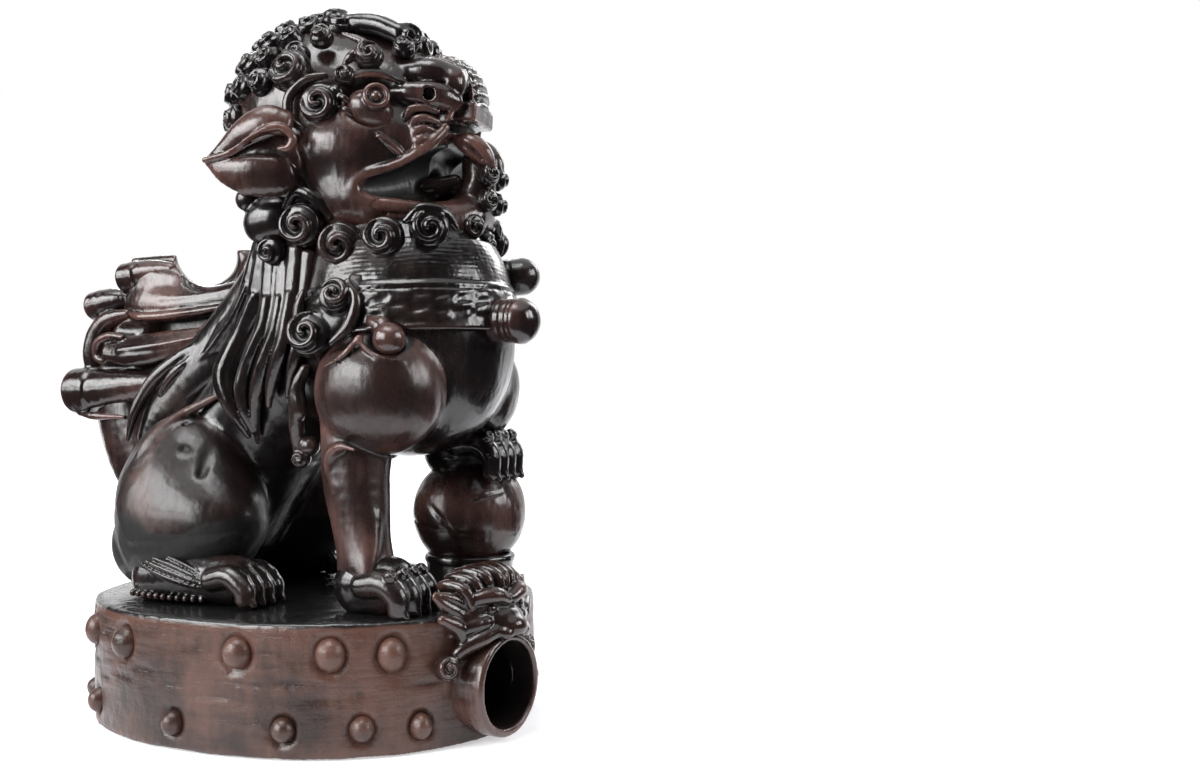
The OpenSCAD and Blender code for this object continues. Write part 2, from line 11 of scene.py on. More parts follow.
import bpy
import numpy as np
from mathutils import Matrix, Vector


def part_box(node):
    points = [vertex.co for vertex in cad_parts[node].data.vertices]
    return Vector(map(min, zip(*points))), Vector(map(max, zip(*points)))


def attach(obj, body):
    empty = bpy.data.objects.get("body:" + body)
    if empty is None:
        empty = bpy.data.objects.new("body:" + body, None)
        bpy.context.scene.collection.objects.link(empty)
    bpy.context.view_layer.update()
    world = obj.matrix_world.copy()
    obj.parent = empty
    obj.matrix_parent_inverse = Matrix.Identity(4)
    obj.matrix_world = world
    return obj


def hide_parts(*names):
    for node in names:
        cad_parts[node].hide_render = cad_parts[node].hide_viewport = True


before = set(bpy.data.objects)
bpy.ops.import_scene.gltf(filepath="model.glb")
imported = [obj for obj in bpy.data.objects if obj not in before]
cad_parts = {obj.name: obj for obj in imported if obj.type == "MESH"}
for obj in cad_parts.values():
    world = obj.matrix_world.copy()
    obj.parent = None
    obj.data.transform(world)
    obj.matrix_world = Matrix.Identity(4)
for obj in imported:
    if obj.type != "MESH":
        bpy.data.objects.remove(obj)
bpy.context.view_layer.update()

MM = 0.001


# Sizes taken from the frame, in millimetres


def corners(node):
    low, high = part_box(node)
    return np.array(low) / MM, np.array(high) / MM


def middle(node):
    low, high = corners(node)
    return (low + high) / 2


torso_low, torso_high = corners("torso")
right_eye, left_eye = middle("right_eye"), middle("left_eye")

# The carving is planned at these sizes, and stretched to the frame where that differs
PLAN_DECK = 34.0
PLAN_TORSO_LOW = np.array([-58.72, -25.96, 36.28])
PLAN_TORSO_HIGH = np.array([59.57, 25.96, 155.10])
PLAN_EYE = np.array([15.6, -24.0, 4.2])


class BodySpace:
    """The lion's body as planned, stretched to the torso in the frame."""

    stretch = (torso_high - torso_low) / (PLAN_TORSO_HIGH - PLAN_TORSO_LOW)

    def place(self, points):
        return (points - PLAN_TORSO_LOW) * self.stretch + torso_low


class HeadSpace:
    """The head's own frame: x to the nose, y to its left, z up, from the skull's middle."""

    across = (left_eye - right_eye) / np.linalg.norm(left_eye - right_eye)
    forward = np.array([across[1], -across[0], 0.0])
    axes = np.array([forward, across, [0, 0, 1.0]])
    stretch = np.linalg.norm(left_eye - right_eye) / (-2 * PLAN_EYE[1])
    origin = (right_eye + left_eye) / 2 - stretch * np.array([PLAN_EYE[0], 0, PLAN_EYE[2]]) @ axes

    def place(self, points):
        return self.stretch * points @ self.axes + self.origin


# Clay. Its sizes are in millimetres.


# What lies far off, and how far round a form its distances are worked out
FAR = 40.0
RESERVE = 2.5
# How far the surface's close and wider surroundings reach, and how deep they count
CLOSE_REACHES, CLOSE_DEPTH = (1.1, 0.7), 2.2
WIDE_REACH, WIDE_DEPTH = 3.6, 6.0
# How fast and how far a shaded form darkens what is inside it
SHADE_SLOPE, SHADE_MOST = 3, 6
# How softly pieces that were one block run into each other, and how far one goes on under the other
BORDER_BLEND, BORDER_REACH, BORDER_DIP = 2.6, 1.6, 0.18


def soft_min(a, b, blend):
    if blend <= 0:
        return np.minimum(a, b)
    h = np.maximum(blend - np.abs(a - b), 0) / blend
    return np.minimum(a, b) - h * h * (blend / 4)


def soft_max(a, b, blend):
    return -soft_min(-a, -b, blend)


def unit(vector):
    vector = np.asarray(vector, float)
    return vector / np.linalg.norm(vector)


def turn_to(axis, start=(0.0, 0.0, 1.0)):
    """Three unit vectors: across, which lies towards start, then aside, then the axis."""
    axis = unit(axis)
    across = np.asarray(start, float) - np.dot(start, axis) * axis
    if np.linalg.norm(across) < 1e-6:
        across = np.cross(axis, [1.0, 0.3, 0.2])
    across = unit(across)
    return np.array([across, np.cross(axis, across), axis])


def seen_from(x, y, z, centre, turn):
    """Places in a form's own frame."""
    dx, dy, dz = x - centre[0], y - centre[1], z - centre[2]
    return [t[0] * dx + t[1] * dy + t[2] * dz for t in turn]


class Form:
    """A form made of parts, each a distance function with the corners of the box it lies in."""

    def __init__(self, parts):
        self.parts = parts
        self.low = np.min([p[1] for p in parts], axis=0)
        self.high = np.max([p[2] for p in parts], axis=0)


def boxed(distance, centre, reach):
    centre = np.asarray(centre, float)
    return Form([(distance, centre - reach, centre + reach)])


def ball(centre, radius):
    def distance(x, y, z):
        return np.sqrt((x - centre[0]) ** 2 + (y - centre[1]) ** 2 + (z - centre[2]) ** 2) - radius

    return boxed(distance, centre, radius)


def egg(centre, radii, turn=np.eye(3)):
    """An ellipsoid whose radii lie along the rows of turn."""
    a, b, c = radii

    def distance(x, y, z):
        u, v, w = seen_from(x, y, z, centre, turn)
        near = np.sqrt((u / a) ** 2 + (v / b) ** 2 + (w / c) ** 2)
        slope = np.sqrt((u / a**2) ** 2 + (v / b**2) ** 2 + (w / c**2) ** 2)
        return near * (near - 1) / np.maximum(slope, 1e-6)

    return boxed(distance, centre, max(radii))


def block(centre, halves, turn=np.eye(3), rounding=1.0):
    def distance(x, y, z):
        sides = [np.abs(q) - (h - rounding) for q, h in zip(seen_from(x, y, z, centre, turn), halves)]
        outside = np.sqrt(sum(np.maximum(q, 0) ** 2 for q in sides))
        return outside + np.minimum(np.maximum(np.maximum(sides[0], sides[1]), sides[2]), 0) - rounding

    return boxed(distance, centre, np.linalg.norm(halves))


def rod(centre, axis, radius, half_length, rounding=0.8):
    """A round bar with flat ends and a rounded rim."""
    turn = turn_to(axis)

    def distance(x, y, z):
        u, v, w = seen_from(x, y, z, centre, turn)
        side = np.sqrt(u * u + v * v) - (radius - rounding)
        end = np.abs(w) - (half_length - rounding)
        outside = np.sqrt(np.maximum(side, 0) ** 2 + np.maximum(end, 0) ** 2)
        return outside + np.minimum(np.maximum(side, end), 0) - rounding

    return boxed(distance, centre, math.hypot(radius, half_length))


def hoop(centre, axis, radius, tube):
    turn = turn_to(axis)

    def distance(x, y, z):
        u, v, w = seen_from(x, y, z, centre, turn)
        return np.sqrt((np.sqrt(u * u + v * v) - radius) ** 2 + w * w) - tube

    return boxed(distance, centre, radius + tube)


def smooth_path(rows, steps):
    """Rows of numbers along a smooth curve through the given rows."""
    rows = np.asarray(rows, float)
    if len(rows) < 3 or steps < 2:
        return rows
    padded = np.vstack([2 * rows[0] - rows[1], rows, 2 * rows[-1] - rows[-2]])
    made = []
    for i in range(len(rows) - 1):
        a, b, c, d = padded[i : i + 4]
        for t in np.arange(steps) / steps:
            bend = 2 * a - 5 * b + 4 * c - d
            made.append(0.5 * (2 * b + (c - a) * t + bend * t**2 + (3 * b - a - 3 * c + d) * t**3))
    return np.vstack([made, rows[-1:]])


def limb(rows, steps=4, out=None, flat=1.0, strands=0, groove=0.0):
    """A round form through rows of [x, y, z, radius]. With out, the way that its top faces, its height
    is flat times its width, and strands run along it with grooves between them."""
    path = smooth_path(rows, steps)
    parts = []
    for a, b in zip(path[:-1], path[1:]):
        start, along = a[:3], b[:3] - a[:3]
        length2 = max(float(along @ along), 1e-9)

        def distance(x, y, z, start=start, along=along, length2=length2, r0=a[3], r1=b[3]):
            dx, dy, dz = x - start[0], y - start[1], z - start[2]
            t = np.clip((dx * along[0] + dy * along[1] + dz * along[2]) / length2, 0, 1)
            dx, dy, dz = dx - t * along[0], dy - t * along[1], dz - t * along[2]
            radius = r0 + (r1 - r0) * t
            if out is None:
                return np.sqrt(dx * dx + dy * dy + dz * dz) - radius
            top = unit(np.asarray(out, float) - (out @ along) / length2 * along)
            side = unit(np.cross(along, top))
            height = dx * top[0] + dy * top[1] + dz * top[2]
            width = dx * side[0] + dy * side[1] + dz * side[2]
            rest = np.maximum(dx * dx + dy * dy + dz * dz - height**2 - width**2, 0)
            found = np.sqrt(height**2 + (flat * width) ** 2 + rest) - flat * radius
            if strands:
                wave = 0.5 + 0.5 * np.cos(np.pi * strands * (width / radius + 1))
                found = found + groove * wave**2
            return found

        reach = max(a[3], b[3])
        parts.append((distance, np.minimum(a[:3], b[:3]) - reach, np.maximum(a[:3], b[:3]) + reach))
    return Form(parts)


def coil(centre, axis, start, radius, rise=1.6, tube=None, turns=2.2, hand=1, dome=True):
    """A spiral rope that faces along axis and rises to its middle. Its outer end lies
    towards start, and hand is 1 where it winds in anticlockwise as seen from the front."""
    turn = turn_to(axis, start)
    pitch = radius / (turns + 0.35)
    tube = tube or 0.4 * pitch
    last = radius - tube

    def distance(x, y, z):
        u, v, w = seen_from(x, y, z, centre, turn)
        r = np.sqrt(u * u + v * v)
        share = (np.arctan2(-hand * v, u) / (2 * np.pi)) % 1.0
        lap = np.clip(np.round((last - r) / pitch - share), 0, None)
        spiral = last - pitch * (lap + share)
        spiral = np.where(spiral < 0, spiral + pitch * np.ceil(-spiral / pitch), spiral)
        wound = (last - spiral) / pitch
        rope = tube * np.clip(0.3 + wound * 3.2, 0, 1) * (0.8 + 0.2 * spiral / radius)
        height = rise * (1 - (spiral / radius) ** 2)
        found = np.sqrt((r - spiral) ** 2 + (0.7 * (w - height)) ** 2) - rope
        if not dome:
            return found
        low = rise * 0.5
        near = np.sqrt(r * r / (0.9 * radius) ** 2 + w * w / (low + 0.3) ** 2)
        return soft_min(found, (near - 1) * (low + 0.3), 0.15)

    return boxed(distance, centre, radius + rise + tube)


def box_blur(field, reach):
    """Averages a field over 2 reach + 1 cells along each axis."""
    for axis in range(3):
        before = np.repeat(field.take([0], axis), reach + 1, axis)
        after = np.repeat(field.take([-1], axis), reach, axis)
        padded = np.concatenate([before, field, after], axis)
        total = np.cumsum(padded, axis, dtype=np.float64)
        count = field.shape[axis]
        upper = total.take(range(2 * reach + 1, 2 * reach + 1 + count), axis)
        lower = total.take(range(count), axis)
        field = ((upper - lower) / (2 * reach + 1)).astype(np.float32)
    return field


class Clay:
    """A block of clay: distances in millimetres from its surface, negative inside."""

    def __init__(self, low, high, step):
        self.low = np.asarray(low, float)
        self.step = step
        self.counts = np.ceil((np.asarray(high, float) - self.low) / step).astype(int) + 1
        self.field = np.full(self.counts, FAR, np.float32)
        self.shades = []

    def places(self, first, last):
        axes = [self.low[k] + self.step * np.arange(first[k], last[k]) for k in range(3)]
        x, y, z = (axis.astype(np.float32) for axis in axes)
        return x[:, None, None], y[None, :, None], z[None, None, :]

    def window(self, low, high):
        first = np.clip(np.floor((low - self.low) / self.step).astype(int), 0, self.counts)
        last = np.clip(np.ceil((high - self.low) / self.step).astype(int) + 1, 0, self.counts)
        return first, last

    def distances(self, form, margin):
        """(window, distances) of a form, worked out only near it."""
        first, last = self.window(form.low - margin, form.high + margin)
        if np.any(last <= first):
            return None, None
        found = np.full(last - first, FAR, np.float32)
        for distance, low, high in form.parts:
            a, b = self.window(low - margin, high + margin)
            if np.any(b <= a):
                continue
            inner = tuple(slice(a[k] - first[k], b[k] - first[k]) for k in range(3))
            found[inner] = np.minimum(found[inner], distance(*self.places(a, b)))
        return tuple(slice(first[k], last[k]) for k in range(3)), found

    def add(self, form, blend=0.0):
        window, found = self.distances(form, blend + RESERVE + 2 * self.step)
        if window:
            self.field[window] = soft_min(self.field[window], found, blend)

    def cut(self, form, blend=0.0):
        window, found = self.distances(form, blend + RESERVE + 2 * self.step)
        if window:
            self.field[window] = soft_max(self.field[window], -found, blend)

    def ridge(self, rows, side, blend=0.0, **how):
        """Adds a round form through rows that are written for the lion's left side."""
        self.add(limb(sided(rows, side), **how), blend)

    def gouge(self, rows, side, blend=0.0, **how):
        self.cut(limb(sided(rows, side), **how), blend)

    def everywhere(self):
        return self.places([0, 0, 0], self.counts)

    def keep(self, function, blend=0.0):
        """Keeps the clay only where a function of the place is negative."""
        self.field = soft_max(self.field, function(*self.everywhere()), blend).astype(np.float32)

    def blank(self):
        """Another block of the same size, with nothing in it yet."""
        other = copy.copy(self)
        other.field = np.full(self.counts, FAR, np.float32)
        other.shades = []
        return other

    def shade(self, form):
        """Paints shade over the surface within a form: dark and unrubbed, as in a deep hollow."""
        self.shades.append(form)

    def flow_into(self, others):
        """Shapes the clay as if it were one with others, and ends it a little past the border."""
        side = self.field - others.field
        joined = soft_min(self.field, others.field, BORDER_BLEND)
        self.field = np.maximum(joined + BORDER_DIP * np.clip(side, 0, 1), side - BORDER_REACH)

    def surface(self):
        """(vertices, faces, normals, relief, form) of the surface, by surface nets. Relief is how
        proud the surface stands of what is close round it, and negative in a hollow. Form is the same
        for what is further round it."""
        f = self.field.copy()
        for axis in range(3):
            for end in (0, -1):
                index = [slice(None)] * 3
                index[axis] = end
                f[tuple(index)] = np.maximum(f[tuple(index)], 0.05)
        inside = f < 0
        n = [c - 1 for c in f.shape]
        mixed = np.zeros(n, np.uint8)
        for dx in (0, 1):
            for dy in (0, 1):
                for dz in (0, 1):
                    mixed += inside[dx : n[0] + dx, dy : n[1] + dy, dz : n[2] + dz]
        cells = np.argwhere((mixed > 0) & (mixed < 8)).astype(np.int32)
        ids = np.full(n, -1, np.int32)
        ids[cells[:, 0], cells[:, 1], cells[:, 2]] = np.arange(len(cells))
        offsets = [(dx, dy, dz) for dx in (0, 1) for dy in (0, 1) for dz in (0, 1)]
        values = np.stack(
            [f[cells[:, 0] + o[0], cells[:, 1] + o[1], cells[:, 2] + o[2]] for o in offsets], 1
        )
        total = np.zeros((len(cells), 3))
        hits = np.zeros(len(cells))
        for i, a in enumerate(offsets):
            for j, b in enumerate(offsets):
                if j <= i or sum(abs(p - q) for p, q in zip(a, b)) != 1:
                    continue
                crossing = (values[:, i] < 0) != (values[:, j] < 0)
                t = np.where(crossing, values[:, i] / (values[:, i] - values[:, j] + 1e-12), 0)
                point = np.array(a) + t[:, None] * (np.array(b) - np.array(a))
                total += np.where(crossing[:, None], point, 0)
                hits += crossing
        local = total / hits[:, None]
        vertices = self.low + self.step * (cells + local)
        slopes = []
        for axis in range(3):
            rising = [k for k, o in enumerate(offsets) if o[axis]]
            falling = [k for k, o in enumerate(offsets) if not o[axis]]
            slopes.append(values[:, rising].sum(1) - values[:, falling].sum(1))
        normals = np.stack(slopes, 1)
        normals /= np.maximum(np.linalg.norm(normals, axis=1, keepdims=True), 1e-9)
        faces = []
        for axis in range(3):
            other = [k for k in range(3) if k != axis]
            if axis == 1:
                other = other[::-1]
            here = [slice(1, -1)] * 3
            here[axis] = slice(0, -1)
            there = list(here)
            there[axis] = slice(1, None)
            a, b = inside[tuple(here)], inside[tuple(there)]
            edges = np.argwhere(a != b)
            leaving = a[edges[:, 0], edges[:, 1], edges[:, 2]]
            base = edges + np.array([0 if k == axis else 1 for k in range(3)])
            ring = []
            for du, dv in ((-1, -1), (0, -1), (0, 0), (-1, 0)):
                c = base.copy()
                c[:, other[0]] += du
                c[:, other[1]] += dv
                ring.append(ids[c[:, 0], c[:, 1], c[:, 2]])
            quad = np.stack(ring, 1)
            quad[~leaving] = quad[~leaving][:, ::-1]
            faces.append(quad)
        faces = np.concatenate(faces)
        near = np.clip(f, -CLOSE_DEPTH, CLOSE_DEPTH)
        for reach in CLOSE_REACHES:
            near = box_blur(near, max(1, round(reach / self.step)))
        far = box_blur(np.clip(f, -WIDE_DEPTH, WIDE_DEPTH), max(1, round(WIDE_REACH / self.step)))
        relief = np.zeros(len(cells))
        form = np.zeros(len(cells))
        for k, o in enumerate(offsets):
            weight = np.prod([local[:, m] if o[m] else 1 - local[:, m] for m in range(3)], axis=0)
            corner = cells + np.array(o)
            relief += weight * near[corner[:, 0], corner[:, 1], corner[:, 2]]
            form += weight * far[corner[:, 0], corner[:, 1], corner[:, 2]]
        # Inside a shaded form the form measure is lowered, which the materials paint as shade.
        for shade in self.shades:
            for distance, _, _ in shade.parts:
                form -= np.clip(-SHADE_SLOPE * distance(*vertices.T), 0, SHADE_MOST)
        return vertices, faces, normals, relief, form


# Large odd numbers that scatter the numbers of neighbouring cells
SCATTER_CELL, SCATTER_SEED, SCATTER_AGAIN = (374761393, 668265263, 2147483647), 974711, 1274126177


def hashed(cells, seed):
    """Even numbers from -1 to 1 that depend only on whole-numbered cells."""
    mixed = cells @ np.array(SCATTER_CELL) + seed * SCATTER_SEED
    mixed = (mixed ^ (mixed >> 13)) * SCATTER_AGAIN
    mixed = mixed ^ (mixed >> 16)
    return (mixed & 0xFFFF) / 32767.5 - 1


def ripple(points, size, seed):
    """Smooth noise from -1 to 1 with bumps about as wide as size."""
    scaled = points / size
    cells = np.floor(scaled).astype(np.int64)
    t = scaled - cells
    t = t * t * (3 - 2 * t)
    found = np.zeros(len(points))
    for dx in (0, 1):
        for dy in (0, 1):
            for dz in (0, 1):
                corner = np.array([dx, dy, dz])
                weight = np.prod(np.where(corner, t, 1 - t), axis=1)
                found += weight * hashed(cells + corner, seed)
    return found


def put_in_scene(name, data):
    made = bpy.data.objects.new(name, data)
    bpy.context.scene.collection.objects.link(made)
    return made


# How wide the carving's waves and nicks are
WAVE_SIZE, NICK_SIZE = 7.0, 1.7


def make_piece(name, material, clay, space, seed, wobble=0.14, nicks=0.035, nodes=None):
    """Turns clay, or a list of clays, into a piece that stands for the CAD node of its name, or for
    the given nodes. Waves as deep as wobble, and nicks, make it as uneven as a hand-carved one."""
    clays = clay if isinstance(clay, list) else [clay]
    found = [one.surface() for one in clays]
    starts = np.cumsum([0] + [len(f[0]) for f in found])
    vertices = np.concatenate([f[0] for f in found])
    faces = np.concatenate([f[1] + start for f, start in zip(found, starts)])
    normals = np.concatenate([f[2] for f in found])
    uneven = wobble * ripple(vertices, WAVE_SIZE, seed) + nicks * ripple(vertices, NICK_SIZE, seed + 1)
    vertices = space.place(vertices + uneven[:, None] * normals) * MM
    mesh = bpy.data.meshes.new(name + "_carved")
    mesh.vertices.add(len(vertices))
    mesh.vertices.foreach_set("co", vertices.astype(np.float32).ravel())
    mesh.loops.add(faces.size)
    mesh.loops.foreach_set("vertex_index", faces.astype(np.int32).ravel())
    mesh.polygons.add(len(faces))
    mesh.polygons.foreach_set("loop_start", np.arange(0, faces.size, 4, dtype=np.int32))
    mesh.polygons.foreach_set("use_smooth", np.ones(len(faces), bool))
    mesh.update(calc_edges=True)
    for k, measure in ((3, "relief"), (4, "form")):
        values = np.concatenate([f[k] for f in found])
        attribute = mesh.attributes.new(measure, "FLOAT", "POINT")
        attribute.data.foreach_set("value", values.astype(np.float32))
    mesh.materials.append(material)
    piece = put_in_scene(name + "_carved", mesh)
    nodes = nodes or [name]
    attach(piece, "root")
    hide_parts(*nodes)


# Rows and points are written for the lion's left side, and these turn them to the other
RIGHT, LEFT = -1, 1


def at_side(point, side):
    return (point[0], side * point[1], point[2])


def sided(rows, side):
    made = np.array(rows, float)
    made[..., 1] = side * made[..., 1]
    return made


def block_of_clay(low, high, step):
    return Clay(low, high, step * (1.0))


def side_block(low, high, side, step):
    """A block of clay for one side, with y given as distances from the middle."""
    inner, outer = side * low[1], side * high[1]
    low = [low[0], min(inner, outer), low[2]]
    high = [high[0], max(inner, outer), high[2]]
    return block_of_clay(low, high, step)


BODY = BodySpace()
HEAD = HeadSpace()


# Materials


class Value:
    """A number in a material. Sums, differences and products of values add Math nodes."""

    def __init__(self, bench, socket):
        self.bench, self.socket = bench, socket

    def worked(self, operation, *others):
        inputs = dict(enumerate([self, *others]))
        return self.bench.node("ShaderNodeMath", {"operation": operation}, inputs).out()

    def __add__(self, other):
        return self.worked("ADD", other)

    __radd__ = __add__

    def __mul__(self, other):
        return self.worked("MULTIPLY", other)

    __rmul__ = __mul__

    def __sub__(self, other):
        return self.worked("SUBTRACT", other)

    def __rsub__(self, other):
        return self * -1 + other

    def clear(self, low, high):
        """0 below low, 1 above high, and smooth between."""
        settings = {"interpolation_type": "SMOOTHSTEP"}
        made = self.bench.node("ShaderNodeMapRange", settings, {0: self, 1: low, 2: high})
        return made.out()


class Made:
    """A node that was made, whose outputs are picked by name or number."""

    def __init__(self, bench, node):
        self.bench, self.node = bench, node

    def out(self, name=0):
        return Value(self.bench, self.node.outputs[name])


class Bench:
    """The nodes of a material, or of the world, where its colours are mixed."""

    def __init__(self, owner):
        owner.use_nodes = True
        self.owner = owner
        self.tree = owner.node_tree
        self.tree.nodes.clear()

    def node(self, kind, settings=None, inputs=None):
        node = self.tree.nodes.new(kind)
        for name, value in (settings or {}).items():
            setattr(node, name, value)
        for name, value in (inputs or {}).items():
            if isinstance(value, Value):
                self.tree.links.new(value.socket, node.inputs[name])
            elif value is not None:
                node.inputs[name].default_value = value
        return Made(self, node)

    def mix(self, share, first, second):
        """A colour between two others, each a colour or a value."""
        made = self.node("ShaderNodeMix", {"data_type": "RGBA"}, {0: share, 6: first, 7: second})
        return made.out(2)

    def noise(self, scale, detail=3.0, stretch=(1, 1, 1), roughness=0.55):
        """Even noise about 0.5, in bumps of about 1 / scale metres."""
        place = self.node("ShaderNodeTexCoord").out("Object")
        stretched = self.node("ShaderNodeVectorMath", {"operation": "MULTIPLY"}, {0: place, 1: stretch})
        inputs = {"Vector": stretched.out(), "Scale": scale, "Detail": detail, "Roughness": roughness}
        return self.node("ShaderNodeTexNoise", {}, inputs).out("Fac")

    def measure(self, name):
        """One of the numbers that make_piece wrote over the surface."""
        return self.node("ShaderNodeAttribute", {"attribute_name": name}).out("Fac")

    def bump(self, height, reach):
        """The normal of a surface whose height varies by about reach metres."""
        inputs = {"Strength": 1.0, "Distance": reach, "Height": height}
        return self.node("ShaderNodeBump", {}, inputs).out()

    def finish(self, inputs):
        shader = self.node("ShaderNodeBsdfPrincipled", {}, inputs)
        self.node("ShaderNodeOutputMaterial", {}, {"Surface": shader.out()})
        return self.owner


def material_bench(name):
    return Bench(bpy.data.materials.new(name))


def wood_colour(*screen):
    """A colour written as on a screen, from 0 to 255, in the shader's own scale."""
    shares = [c / 255 / 12.92 if c <= 10 else ((c / 255 + 0.055) / 1.055) ** 2.4 for c in screen]
    return (*shares, 1.0)


GRAIN = (1, 1, 0.07)
# The near-black colour of painted shade in hollows
SHADE = wood_colour(6, 5, 5)


def lacquered_wood(name, deep, plain, worn, wear, rough=0.24, gloss=0.6):
    """Stained and lacquered wood: near black in the cuts, painted shade in deep hollows and shaded
    forms, redder where hands have rubbed it, with the small unevenness that a knife leaves."""
    bench = material_bench(name)
    deep, plain, worn = (wood_colour(*shade) for shade in (deep, plain, worn))
    blotch = bench.noise(42, 4)
    chisel = bench.noise(210, 2, (1, 1, 0.5))
    streak = bench.noise(520, 3, GRAIN)
    fine = bench.noise(1500, 3)
    height = bench.measure("relief")
    broad = bench.measure("form")
    rubbed = height * 0.45 + broad * 0.14 + wear + (blotch - 0.5) * 2.4 + (streak - 0.5) * 0.8
    rubbed = rubbed.clear(-0.1, 0.8)
    sunk = (height + (blotch - 0.5) * 0.2 + (fine - 0.5) * 0.2).clear(-0.5, -0.04)
    # Painted shade: deep hollows, and the surface within shaded forms, turn near black, and rougher.
    painted_hollow_shade = 1 - broad.clear(-2.4, -0.7)
    colour = bench.mix(rubbed, plain, worn)
    colour = bench.mix((streak * 0.7 + fine * 0.3).clear(0.42, 0.68) * 0.5, colour, deep)
    colour = bench.mix(sunk, deep, colour)
    colour = bench.mix(painted_hollow_shade, colour, SHADE)
    roughness = rough + (blotch - 0.5) * 0.3 + (streak - 0.5) * 0.22 + (fine - 0.5) * 0.08
    roughness = roughness + (1 - sunk) * 0.2 + painted_hollow_shade * 0.3
    uneven = chisel * 1.1 + streak * 0.12 + fine * 0.05
    return bench.finish(
        {
            "Base Color": colour,
            "Roughness": roughness,
            "Normal": bench.bump(uneven, 0.0003),
            "Specular IOR Level": gloss,
            "Coat Weight": sunk * 0.12,
            "Coat Roughness": 0.12,
        }
    )


figure_wood = lacquered_wood("figure_lacquer", (8, 6, 6), (29, 19, 18), (90, 62, 55), 0.06)
# Near-black lacquer: the dark pieces' own tone, and painted shade on pieces that lie behind others, such
# as the torso behind the locks
dark_and_shaded_wood = lacquered_wood("dark_and_shaded_lacquer", (7, 6, 6), (17, 13, 13), (52, 38, 35), -0.12, 0.22)
relief_wood = lacquered_wood("relief_lacquer", (9, 7, 7), (31, 20, 17), (86, 58, 50), 0.05)
worn_wood = lacquered_wood("worn_lacquer", (9, 7, 7), (36, 24, 22), (98, 68, 61), 0.1, 0.31, 0.5)
# A darker copy of the worn lacquer for the haunches, rougher and less glossy: its darker colours are
# painted shade
shaded_haunch_wood = lacquered_wood("shaded_haunch_lacquer", (8, 6, 6), (26, 18, 17), (84, 60, 54), 0.04, 0.35, 0.4)


def worked_wood(name, deep, plain, worn, top_level):
    """The drum's wood: mottled brown, scraped level, with a glossier near-black top, a painted
    highlight just under it, painted light that grows up the side, and painted shade in deep hollows.
    """
    bench = material_bench(name)
    deep, plain, worn = (wood_colour(*shade) for shade in (deep, plain, worn))
    blotch = bench.noise(30, 5, (1, 1, 0.6), 0.65)
    cloud = bench.noise(120, 3)
    streak = bench.noise(420, 3, (1, 1, 0.16))
    scraped = bench.noise(520, 4, (0.1, 0.1, 1))
    fine = bench.noise(1400, 3)
    height = bench.measure("relief")
    broad = bench.measure("form")
    place = bench.node("ShaderNodeTexCoord").out("Object")
    level = bench.node("ShaderNodeSeparateXYZ", {}, {0: place}).out("Z")
    waved = level + (cloud - 0.5) * 0.001
    top = waved.clear(top_level - 0.0016, top_level - 0.0007)
    # Painted highlight: a paler band just under the top, along the rim.
    edge = waved.clear(top_level - 0.0034, top_level - 0.0022)
    # Painted light: the side grows paler from its foot upwards.
    rise = level.clear(0.006, 0.03)
    pale = blotch * 1.5 + scraped * 0.35 + (cloud - 0.5) * 0.7 + height * 0.4 + rise * 0.12
    pale = pale.clear(0.7, 1.3)
    dark = (streak * 0.7 + fine * 0.3).clear(0.48, 0.72)
    sunk = (height + (cloud - 0.5) * 0.25).clear(-0.36, -0.02)
    colour = bench.mix(pale, plain, worn)
    colour = bench.mix(dark * 0.4, colour, deep)
    colour = bench.mix(sunk, deep, colour)
    # Painted shade in deep hollows and within shaded forms, such as the ring's bore.
    colour = bench.mix(1 - broad.clear(-2.6, -1.1), colour, SHADE)
    # Painted highlight along the rim.
    colour = bench.mix(edge * 0.6, colour, worn)
    colour = bench.mix(top, colour, wood_colour(25, 24, 24))
    roughness = 0.34 + (scraped - 0.5) * 0.3 + (blotch - 0.5) * 0.2 - top * 0.12 + (1 - sunk) * 0.2
    uneven = cloud * 0.8 + scraped * 0.5 + streak * 0.15 + fine * 0.2
    return bench.finish(
        {
            "Base Color": colour,
            "Roughness": roughness,
            "Normal": bench.bump(uneven, 0.00045),
            "Specular IOR Level": 0.5,
            "Coat Weight": top * 0.3,
            "Coat Roughness": 0.15,
        }
    )


base_wood = worked_wood("base_lacquer", (11, 7, 6), (36, 22, 17), (84, 57, 47), PLAN_DECK * MM)


# The body


def below_deck(x, y, z):
    return PLAN_DECK - z


def curl(clay, centre, axis, start, radius, hand, depth, rise, turns, blend=0.7):
    """A spiral curl standing on a rounded button."""
    turn = turn_to(axis, start)
    clay.add(egg(centre, (0.96 * radius, 0.96 * radius, depth), turn), blend)
    top = np.asarray(centre, float) + 0.55 * depth * turn[2]
    clay.add(coil(top, axis, start, radius, rise=rise, turns=turns, hand=hand), 0.15)


def side_curl(clay, side, centre, axis, start, radius, hand, *shape):
    """A curl that is written for the left side, with the depth, rise and turns of its shape."""
    curl(clay, at_side(centre, side), at_side(axis, side), start, radius, hand * side, *shape)


def torso_forms(clay):
    """The rump, back, belly and chest."""
    clay.add(limb([[-36, 0, 59, 23], [-16.8, 0, 86, 21.8], [6, 0, 102, 24.4], [31, 0, 100, 26.5]]))
    clay.add(ball((31.5, 0, 103), 26.9), 6)
    clay.add(ball((30, 0, 115), 26.6), 8)
    clay.add(limb([[3.6, 0, 132, 20.7], [18, 0, 134, 21.4], [30, 0, 120, 24]]), 5)
    return clay


def haunch_forms(clay, side):
    """The thigh, fuller above the foot."""
    lean = turn_to((-0.18, 0, 1), (1, 0, 0))
    clay.add(egg(at_side((-29, 19, 62), side), (19.5, 17, 23), lean), 3)
    clay.ridge([[-41, 17, 48, 14], [-31, 21, 56, 18.5]], side, 6)
    clay.ridge([[-27, 22.5, 47, 13.4], [-15, 25, 55, 12.4]], side, 9)
    return clay


